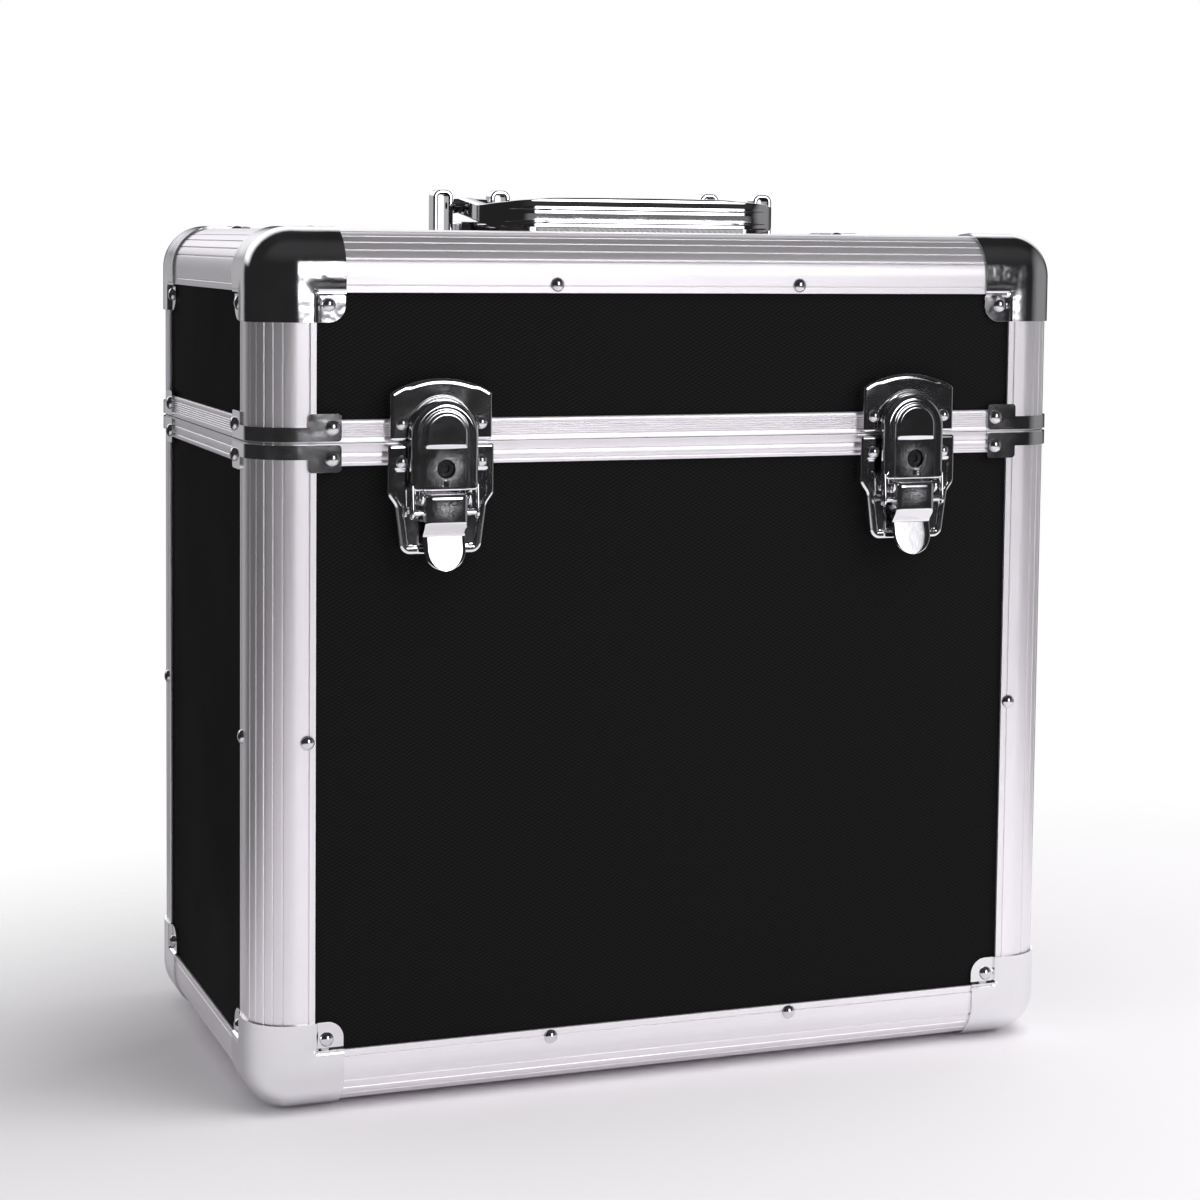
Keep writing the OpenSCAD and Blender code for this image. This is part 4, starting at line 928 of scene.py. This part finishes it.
outline = hood_outline()
HOOD = pressed(outline, (0, -CORE_Z), hood_height, HOOD_BACK, hole=3.95, rings=44,
               bend=0.7 + 1.5 * smooth(outline[:, 1], 0.5 - HOOD_BOTTOM, 4 - HOOD_BOTTOM),
               level=hood_inset, stops=((-0.35, 8), (0.35, 7), (0.65, 2), (1.75, 9)))
leg = rounded([(-30.8, 6.8), (-17.0, 7.9), (-17.0, 10.6), (-30.8, 11.8)], [2.4, 0, 0, 2.4])
LEGS = both(across(slab(leg, HOOD_W / 2 - 1, HOOD_W / 2)))
print("hood:", len(HOOD[0]), "points")


# %% [markdown]
# The lever is the bent strip that a thumb pulls out.  A box with bevels would miss its
# bends, so its side view is a path, and every point of the path gives one row.
# %% The lever
def bent_path(points, radii, spacing=0.4):
    """An open path with its inner corners rounded and about even steps."""
    loop = rounded(points, [0, *radii[1:-1], 0], 8)
    out = [loop[0]]
    for a, b in zip(loop[:-1], loop[1:]):
        count = max(1, round(np.linalg.norm(b - a) / spacing))
        out += [a + (b - a) * k / count for k in range(1, count + 1)]
    return np.array(out)


PIVOT_Y, LINK_Z, LEVER_Y, LEVER_W = 9.3, 28.3, 13.0, 17.8
LEVER_TOP, FLAT_END, BAND_END, LEVER_TIP = -19.8, -32.5, -37.8, -52.0


def lever_patch():
    """The lever's face: its side view as rows, its rounded width as columns."""
    path = bent_path([(LEVER_TOP - 0.6, 9.6), (LEVER_TOP, LEVER_Y), (FLAT_END, LEVER_Y),
                      (BAND_END, LEVER_Y - 4.4), (LEVER_TIP, LEVER_Y - 1.0)],
                     [0, 2.4, 1.2, 1.6, 0], 0.35)
    end = LEVER_TIP + LEVER_W / 2
    t = np.sin(np.linspace(-1, 1, 41) * math.pi / 2)
    rows = []
    for v, w in path:
        half = LEVER_W / 2
        if v < end:
            half *= math.sqrt(max(0.0, 1 - ((end - v) / half) ** 2))
        flat = smooth(np.array([v]), BAND_END + 3, FLAT_END + 1)[0]
        edge = (0.35 + 0.75 * flat) * np.abs(t) ** 10
        rows.append(np.column_stack([half * t, np.full(len(t), v), w - edge]))
    return grid(rows)


CHEEK_FROM = LEVER_W / 2 - 1.1
cheek = rounded([(-30.8, 6.9), (-19.9, 6.9), (-19.9, 12.2), (-31.8, 12.2), (-31.8, 11.0)],
                [2.4, 2.4, 2.0, 0.4, 0.4])
points, faces = across(lathe([(0, 0), (1.0, 0), (1.2, 0.2), (1.2, 6.2), (0.9, 6.45), (0, 6.5)], 20))
CHEEKS = both(across(slab(cheek, CHEEK_FROM, CHEEK_FROM + 1)))
CHEEKS += both((points + [CHEEK_FROM, -LINK_Z, PIVOT_Y], faces))
LEVER = lever_patch()
print("lever:", len(LEVER[0]), "points")

# %% [markdown]
# The lock's core is a turned disc in the key hole.  A plain cylinder has neither its
# sunk middle nor its bevelled rim, so it is a profile on the lathe.
# %% The lock
points, faces = lathe([(0, CORE_FACE - 0.9), (1.5, CORE_FACE - 0.9), (1.65, CORE_FACE - 0.1),
                       (3.3, CORE_FACE), (CORE_R, CORE_FACE - 0.3), (CORE_R, HOOD_BACK),
                       (0, HOOD_BACK)], 40)
CORE = points + [0, -CORE_Z, 0], faces
# A thin dark plate sits in the key slot's pit as painted shade; the hood's own dimple is the slot.
slot = rounded([(-0.9, -17.3), (0.9, -17.3), (0.9, -15.1), (-0.9, -15.1)], [0.3] * 4)
SLOT_SHADE = slab(slot, HOOD_Y - 0.2, HOOD_Y + 0.05, 0.08)
print("lock turned")


# %% [markdown]
# The two latches are alike.  Finished objects could be copied, but every copy would need
# its body set again, so the patches are made once and moved to both places.
# %% Both latches
def latch_piece(name, patches, body, finish, sheet=None, stands_for=None):
    """A piece of the latch at x; a sheet has a thickness, a bevel and a point inside it."""
    thick, bevel, y, z = sheet or (0, 0, 0, 0)
    piece(name, [moved(p, *front(x)) for p in patches], body, [stands_for] if stands_for else [],
          finish, thick, bevel, facing=sheet and [x, SHELL_Y - y, SEAM - z])


for side, x in (("left", -LATCH_X), ("right", LATCH_X)):
    keeper, plate, hood, lever, core = (f"{name}_{side}" for name in (
        "keeper", "latch_plate", "hood", "lever", "lock_core"))
    latch_piece(keeper + "_pressed", [KEEPER], "lid", LATCH_CHROME, (1, 0.15, 0, 0), keeper)
    latch_piece(plate + "_pressed", [PLATE], "base", LATCH_CHROME, (1, 0.15, 0, 0), plate)
    latch_piece(f"latch_ears_{side}", EARS, "base", CHROME)
    latch_piece(hood + "_pressed", [HOOD], hood, LATCH_CHROME, (0.9, 0.12, 90, 11), hood)
    latch_piece(f"hood_legs_{side}", LEGS, hood, CHROME)
    latch_piece(lever + "_bent", [LEVER], lever, LATCH_CHROME, (1, 0.15, 90, 35), lever)
    latch_piece(f"lever_cheeks_{side}", CHEEKS, lever, CHROME)
    # The core and the slot's plate take the lock steel's painted shade.
    latch_piece(core + "_turned", [CORE], core, SHADED_LOCK_STEEL, None, core)
    latch_piece(f"key_slot_shade_{side}", [SLOT_SHADE], hood, SHADED_LOCK_STEEL)
print("two latches pressed")

# %% [markdown]
# ## Hinges
# The back isn't in the photograph, so these are the usual butt hinges.  Their knuckles
# share one pin between base and lid, so leaves, webs and knuckles are made as separate
# closed patches: rounded slabs, and turned rods with small bevels.
# %% Hinge leaves, knuckles and pins
KNUCKLES, KNUCKLE_GAP = 5, 0.15


def rod(radius, start, end, bevel=0.3, segments=28):
    """A turned rod along x with bevelled ends."""
    return across(lathe([(0, start), (radius - bevel, start), (radius, start + bevel),
                         (radius, end - bevel), (radius - bevel, end), (0, end)], segments))


def hinge_patches(first, side):
    """Leaf, webs and knuckles of one half, with u across, v up and w out of the back."""
    low, high = sorted((side * 3.3, side * HINGE_LEAF))
    half = HINGE_L / 2
    leaf = rounded([(-half, low), (half, low), (half, high), (-half, high)], [0.8, 0.8, 2.5, 2.5]
                   if side > 0 else [2.5, 2.5, 0.8, 0.8])
    patches = [slab(leaf, 0, HINGE_T, 0.25)]
    for i in range(first, KNUCKLES, 2):
        start = -half + HINGE_L / KNUCKLES * i + KNUCKLE_GAP
        end = start + HINGE_L / KNUCKLES - 2 * KNUCKLE_GAP
        vertices, faces = rod(KNUCKLE_R, start, end)
        patches.append((vertices + [0, 0, HINGE_AXIS], faces))
        low, high = sorted((0.2 * side, 6 * side))
        web = np.array([(start, low), (end, low), (end, high), (start, high)])
        patches.append(slab(web, 0.02, HINGE_T, 0.15))
    return patches


BEHIND = np.array([[1, 0, 0], [0, 0, 1], [0, 1, 0]])
for name, first, side, body in (("hinge_base_leaves", 0, -1, "base"),
                                ("hinge_lid_leaves", 1, 1, "lid")):
    patches = [moved(p, BEHIND, [x, SHELL_Y + HALF_D, SEAM])
               for x in (-HINGE_X, HINGE_X) for p in hinge_patches(first, side)]
    piece(name + "_formed", patches, body, [name], ZINC)
pins = [moved(rod(1.5, -25.5, 25.5, 0.5), np.eye(3), [x, SHELL_Y + HALF_D + HINGE_AXIS, SEAM])
        for x in (-HINGE_X, HINGE_X)]
piece("hinge_pins_turned", pins, "base", ["hinge_pins"], ZINC)
print("hinges formed")

# %% [markdown]
# ## The folding handle
# The real bail is one casting with a fluted grip.  A curve with a bevel keeps one section,
# but here the section changes, so it is swept point by point along its plan: arm, bend,
# grip, bend, arm.  Its height follows the distance from the front, and along the grip its
# outer face is fluted.
# %% Sweeps
def swept(path, section):
    """A closed section along a path in a plane: section(i) gives (outward, up) points."""
    rows = [section(i) for i in range(len(path))]
    along = np.gradient(path[:, :2], axis=0)
    along /= np.linalg.norm(along, axis=1)[:, None]
    out = np.column_stack([along[:, 1], -along[:, 0]])
    return tube([np.column_stack([p[0] + o[0] * r[:, 0], p[1] + o[1] * r[:, 0], r[:, 1]])
                 for p, o, r in zip(path, out, rows)])


# Height over the grip's lower edge, and depth of its face there.
FACE = np.array([(0, 1.2), (2.75, 1.2), (2.9, 0.0), (4.1, 0.0), (4.8, 0.34), (4.92, 0.0),
                 (5.3, 0.0), (5.5, 0.3), (8.6, 0.0), (9.8, 0.0), (10.35, 0.28), (10.47, 0.0),
                 (11.6, 0.0), (11.9, 0.14), (13.9, 0.97), (14.8, 1.0)])


def flutes(height):
    """How far the grip's outer face is sunk at a height over its lower edge, in mm."""
    return np.interp(height, FACE[:, 0], FACE[:, 1])


def bail_path():
    """The middle line of the bail in plan, from the left hub to the right hub."""
    arm, bend = GRIP_X + BAIL_R - BAIL_T / 2, BAIL_R - BAIL_T / 2
    front_y = BAIL_T / 2 - BAIL_REACH
    left = [(-arm, y) for y in np.linspace(0, front_y + bend, 24)]
    turn = [(-GRIP_X + bend * math.cos(a), front_y + bend + bend * math.sin(a))
            for a in np.linspace(math.pi, 1.5 * math.pi, 30)[1:]]
    grip = [(x, front_y) for x in np.linspace(-GRIP_X, 0, 30)[1:]]
    half = np.array(left + turn + grip)
    return np.vstack([half, (half * [-1, 1])[-2::-1]])


BAIL = bail_path()
REACHES = [0, 27, 34, 40.5, 44.5]           # distances from the axis, up to the grip's middle
LOW_EDGE = [HANDLE_Z - 3.4, 4.0, 2.6, 0.3, BAIL_REST]
HIGH_EDGE = [HANDLE_Z + 3.2, 11.0, 11.4, 12.3, 13.4]


def bail_section(i):
    """Section at a point of the path, from the lower front edge round the top and back."""
    x, y = BAIL[i]
    low, high = np.interp(-y, REACHES, LOW_EDGE), np.interp(-y, REACHES, HIGH_EDGE)
    half = BAIL_T / 2
    on_grip = smooth(np.array([GRIP_X + 3 - abs(x)]), 0, 12)[0]
    fluted = smooth(np.array([GRIP_X + 12 - abs(x)]), 0, 12)[0]
    crown = high + 0.5 + (1.1 - 0.35 * (x / GRIP_X) ** 2) * on_grip
    edge = high + 0.5 * on_grip
    z = np.linspace(low + 0.5, edge, 110)
    face = np.column_stack([half - flutes(z - BAIL_REST) * fluted, z])
    arc, front_r, back_r = np.linspace(0, math.pi / 2, 8)[1:], 1.8, 1.6
    top = np.column_stack([face[-1, 0] - front_r + front_r * np.cos(arc),
                           edge + (crown - edge) * np.sin(arc)])
    back = np.column_stack([back_r - half - back_r * np.sin(arc),
                            crown - back_r + back_r * np.cos(arc)])
    toe = half - FACE[0, 1] * fluted
    foot = [(-half, low + 1.0), (-half + 0.3, low + 0.3), (-half + 1.0, low), (toe - 0.8, low),
            (toe - 0.2, low + 0.15)]
    return np.vstack([face, top, [(back_r - half, crown)], back, foot])


def on_lid(patch):
    return moved(patch, np.eye(3), [0, SHELL_Y - HANDLE_Y, TOP])


hub_in, hub_out, trunnion = BRACKET_X - BRACKET_STEP + 5.2, BRACKET_X - 5.2, 2.7
bail = [on_lid(swept(BAIL, bail_section))]
for radius, longer, bevel in ((3.4, 0, 0.6), (2.0, trunnion, 0.4)):
    vertices, faces = rod(radius, hub_in - longer, hub_out + longer, bevel, 36)
    for patch in both((vertices + [0, 0, HANDLE_Z], faces)):
        bail.append(on_lid(patch))
piece("handle_bail_swept", bail, "handle", ["handle_bail"], CHROME, crease=48)
print("bail:", len(BAIL), "stations")


# %% [markdown]
# The grip's lowest flute holds a milky strip with a moulded pattern of small diamonds.  A
# bump map would leave its outline smooth, so two crossing waves lift the skin itself.
# %% Grip strip
PATTERN_X, PATTERN_Z, SWELL = 2.65, 3.2, 0.30      # pitches along and up the strip, height


def strip_patch():
    """A moulded strip: its section swells in small diamonds along x."""
    low, high = BAIL_REST + 0.3, BAIL_REST + 2.8
    near, far = 0.45 - BAIL_REACH, 6.1 - BAIL_REACH
    base = resampled(rounded([(near, low), (far, low), (far, high), (near, high)],
                             [0.9, 0.9, 0.2, 0.2]), 0.3)
    normal, up = outward(base), base[:, 1]
    rows = []
    for x in np.linspace(-GRIP_X - 0.3, GRIP_X + 0.3, 370):
        wave = np.abs(np.sin(math.pi * (x / PATTERN_X + up / PATTERN_Z))
                      * np.sin(math.pi * (x / PATTERN_X - up / PATTERN_Z)))
        swell = SWELL * wave * (up < high - 0.5)
        rows.append(np.column_stack([np.full(len(base), x), base + swell[:, None] * normal]))
    return tube(rows)


piece("grip_strip_moulded", [on_lid(strip_patch())], "handle", ["handle_grip"],
      STRIP, crease=60)
print("strip moulded")


# %% [markdown]
# Four bent strips hold the bail's trunnions, two at each hub, above a plate with a raised
# middle.  Boxes with holes would look cast, and these are bent metal, so a section with
# rounded edges is swept over each loop.  The plate is pressed like the latches.
# %% Brackets and tray
def bracket_patch(foot, top=18.0, thick=2.0, wide=8.0, out=9.0):
    """A strip with rounded edges, bent over a loop from foot to foot."""
    half = out / 2 - thick / 2
    crown, t, w = top - thick / 2, thick / 2, wide / 2
    path = bent_path([(-half, foot), (-half, crown), (half, crown), (half, foot)],
                     [0, 2.4, 2.4, 0], 0.6)
    ring = rounded([(t, -w), (t, w), (-t, w), (-t, -w)], [0.7] * 4)
    along = np.gradient(path, axis=0)
    along /= np.linalg.norm(along, axis=1)[:, None]
    return tube([np.column_stack([p[0] - a[1] * ring[:, 0], ring[:, 1], p[1] + a[0] * ring[:, 0]])
                 for p, a in zip(path, along)])


brackets = []
for sx in (-1, 1):
    for step, foot in ((0, -EDGE_T), (BRACKET_STEP, 4.0)):
        loop = moved(bracket_patch(foot), np.eye(3), [sx * (BRACKET_X - step), 0, 0])
        brackets.append(on_lid(loop))
piece("handle_brackets_bent", brackets, "lid", ["handle_brackets"], CHROME, crease=48)


def tray_outline(half_x, half_y, spacing):
    corners = [(-half_x, -half_y), (half_x, -half_y), (half_x, half_y), (-half_x, half_y)]
    return resampled(rounded(corners, [4] * 4), spacing)


plate = tray_outline(63, 23.5, 2.0)
raised = pressed(tray_outline(71, 13.5, 1.5), (0, 0), lambda p: 4.0 + 0 * p[:, 0], -0.2,
                 bend=1.3, rings=9)
piece("handle_tray_flange", [on_lid(slab(plate, -EDGE_T, -0.2, 0.25))], "lid", ["handle_tray"],
      CHROME)
piece("handle_tray_raised", [on_lid(raised)], "lid", [], CHROME)
print("handle made")

# %% [markdown]
# ## Foam linings
# The inside isn't in the photograph.  Such cases are lined with foam that is cut to the
# walls and glued, so each half has five pads.  A pad is a sheet whose thickness is held by
# ((1 - |s|^14) (1 - |t|^14))^0.5, which rounds its edges, and has a slightly uneven skin.
# %% Pads
LINING_STOP, LINING_T = 5, 2.4              # distance from the seam, thickness


def pad(origin, first, second, depth):
    """A closed pad on a rectangle; depth points into the case."""
    origin, first, second, depth = (np.asarray(v, float) for v in (origin, first, second, depth))
    n, m = (max(8, round(np.linalg.norm(v) / 7)) for v in (first, second))
    s = np.sin(np.linspace(-1, 1, n) * math.pi / 2)[:, None]
    t = np.sin(np.linspace(-1, 1, m) * math.pi / 2)[None, :]
    crown = np.clip((1 - np.abs(s) ** 14) * (1 - np.abs(t) ** 14), 0, 1) ** 0.5
    lumps = 0.14 * (np.sin(9.1 * s + 1.3) * np.sin(7.7 * t + 0.4) + np.sin(15.3 * s * t + 2.1))
    flat = origin + first * (s[..., None] + 1) / 2 + second * (t[..., None] + 1) / 2
    return [grid(flat), grid(flat + depth * ((LINING_T - 0.3 + lumps) * crown)[..., None])]


for body, floor, up in (("base", FLOOR + LINING_IN, 1), ("lid", TOP - LINING_IN, -1)):
    w, d, z = HALF_W - LINING_IN, HALF_D - LINING_IN, floor + up * LINING_T
    tall = [0, 0, SEAM - up * LINING_STOP - z]
    pads = pad([-w, SHELL_Y - d, floor], [2 * w, 0, 0], [0, 2 * d, 0], [0, 0, up])
    for sy in (-1, 1):
        pads += pad([-w, SHELL_Y + sy * d, z], [2 * w, 0, 0], tall, [0, -sy, 0])
    for sx in (-1, 1):
        start = [sx * w, SHELL_Y - d + LINING_T, z]
        pads += pad(start, [0, 2 * (d - LINING_T), 0], tall, [-sx, 0, 0])
    made = piece(body + "_lining_pads", pads, body, [body + "_lining"], FOAM, crease=70)
print("linings laid")

# %% [markdown]
# ## The studio
# The photograph has a pale floor that fades into white, and soft light.  The floor is a
# plain sheet whose material turns clear with the distance, so it has no edge.
# %% Floor
def mix_shaders(tree, factor, first, second):
    """A shader that goes from the first to the second as the factor rises."""
    node = add(tree, "ShaderNodeMixShader")
    for socket, value in zip(node.inputs, (factor, first, second)):
        feed(socket, value)
    return Field(node.outputs[0])


paper = Finish("pale floor", (0.84, 0.82, 0.84), 0, 0.7, Specular_IOR_Level=0.2)
paper.drive(Base_Color=paper.noise(1.2, 2).mixed((0.82, 0.795, 0.82), (0.87, 0.85, 0.87)))
far = add(paper.tree, "ShaderNodeVectorMath", operation="DISTANCE")
feed(far.inputs[0], paper.place())
feed(far.inputs[1], (0.1, -0.5, 0))
fade = Field(far.outputs["Value"]).spread(0.0, 1.0, 0.6, 0.92)
clear = Field(add(paper.tree, "ShaderNodeBsdfTransparent").outputs[0])
feed(paper.tree.nodes["Material Output"].inputs["Surface"],
     mix_shaders(paper.tree, fade, Field(paper.shader.outputs[0]), clear))

mesh = bpy.data.meshes.new("floor")
mesh.from_pydata([(-1, -1.5, 0), (1.1, -1.5, 0), (1.1, 0.6, 0), (-1, 0.6, 0)], [], [(0, 1, 2, 3)])
mesh.materials.append(paper.made)
floor = put("floor", mesh)
floor.location.z = -0.0004
print("floor laid")


# %% [markdown]
# Three large lamps stand above and at both sides.  Small ones would give hard shadows, and
# polished metal would show their shapes, so they are large and mirrors don't see them.
# %% Lamps
def posed(made, columns, place):
    """Gives an object its x, y and z axes, as columns, and its place."""
    rows = [[*row, p] for row, p in zip(np.column_stack(columns), place)]
    made.matrix_world = Matrix(rows + [[0, 0, 0, 1]])


def soft_lamp(name, place, aim, size, power):
    """A rectangular lamp that polished metal doesn't show."""
    lamp = bpy.data.lights.new(name, "AREA")
    lamp.shape, lamp.size, lamp.size_y, lamp.energy = "RECTANGLE", *size, power
    made = put(name, lamp)
    made.visible_glossy = False
    z = place - np.array(aim, float)
    z /= np.linalg.norm(z)
    x = np.cross((0, 0, 1), z)
    x /= np.linalg.norm(x)
    posed(made, [x, np.cross(z, x), z], place)


soft_lamp("overhead", (0.6, -0.4, 1.7), (0, 0, 0.1), (1.6, 1.2), 19)
soft_lamp("right side", (1.6, -1.0, 0.9), (0, 0, 0.2), (1.2, 1.2), 15)
soft_lamp("left side", (-1.8, -0.6, 0.8), (0, 0, 0.2), (1.0, 1.2), 2)
print("lamps hung")

# %% [markdown]
# Chrome shows only what it reflects.  A photograph as a room would need a file, so the
# room is a formula: a dark hall with soft-edged windows, seen by mirrors only.  All other
# rays meet an even sky, and the camera sees white.
# %% World
world = bpy.data.worlds.new("studio")
bpy.context.scene.world = world
world.use_nodes = True
tree = world.node_tree
tree.nodes.clear()
direction = Field(add(tree, "ShaderNodeTexCoord").outputs["Generated"])
TOWARDS = dict(zip("xyz", map(Field, add(tree, "ShaderNodeSeparateXYZ", Vector=direction).outputs)))
COOL, WHITE, DARK, EVEN = (0.985, 0.975, 1, 1), (1, 1, 1, 1), 0.018, 0.55


def window(strength, **sides):
    """A bright area of the room: per axis, pairs (outer, inner) of soft edges."""
    light = strength
    for axis, edges in sides.items():
        for outer, inner in edges:
            light = TOWARDS[axis].spread(0.0, 1.0, outer, inner) * light
    return light


def background(strength, colour):
    return Field(add(tree, "ShaderNodeBackground", Strength=strength, Color=colour).outputs[0])


room = DARK
for light in (window(5.2, y=[(-0.3, -0.45)], x=[(0.18, 0.25), (0.48, 0.37)],
                     z=[(-0.03, -0.01), (0.50, 0.36)]),
              window(1.3, y=[(0.55, 0.75)], z=[(0.12, 0.25)]),
              window(0.45, y=[(0.8, 0.93)], x=[(-0.05, -0.2)], z=[(-0.7, -0.4)]),
              window(0.16, y=[(-0.3, -0.45)], z=[(-0.11, -0.15)]),
              window(0.025, y=[(0.1, -0.2)], z=[(0.4, 0.75)]),
              window(0.25, x=[(0.75, 0.95)], z=[(-0.5, -0.2), (0.75, 0.5)])):
    room = light + room
rays = add(tree, "ShaderNodeLightPath").outputs
glossy = mix_shaders(tree, Field(rays["Is Glossy Ray"]), background(EVEN, COOL),
                     background(room, COOL))
seen = mix_shaders(tree, Field(rays["Is Camera Ray"]), glossy, background(1.0, WHITE))
add(tree, "ShaderNodeOutputWorld", Surface=seen)
print("studio lit")

# %% [markdown]
# ## The camera
# It was fitted to the photograph's corners, edges and latches by least squares.  The
# picture was cropped, so the lens points beside its middle, which the two shifts give.
# %% Camera
PHOTO, SENSOR = 1200, 36                     # pixels and mm
FOCAL_PX, MIDDLE = 2606.2, (601.1, 427.5)
YAW, PITCH, ROLL = 0.3582, 0.0729, 0.0103
camera_data = bpy.data.cameras.new("camera")
camera_data.sensor_width = SENSOR
camera_data.lens = FOCAL_PX / PHOTO * SENSOR
camera_data.shift_x = (PHOTO / 2 - MIDDLE[0]) / PHOTO
camera_data.shift_y = (MIDDLE[1] - PHOTO / 2) / PHOTO
camera = put("camera", camera_data)
right = np.array([math.cos(YAW), -math.sin(YAW), 0])
look = np.array([math.sin(YAW) * math.cos(PITCH), math.cos(YAW) * math.cos(PITCH),
                 -math.sin(PITCH)])
turned = math.cos(ROLL) * right + math.sin(ROLL) * np.cross(right, look)
posed(camera, [turned, np.cross(turned, look), -look], (-0.4158, -1.1125, 0.3598))
bpy.context.scene.camera = camera
bpy.context.scene.view_settings.view_transform = "Standard"
print("camera:", round(camera_data.lens, 1), "mm lens")

# %% [markdown]
# ## The end
# %% End
print("script done")
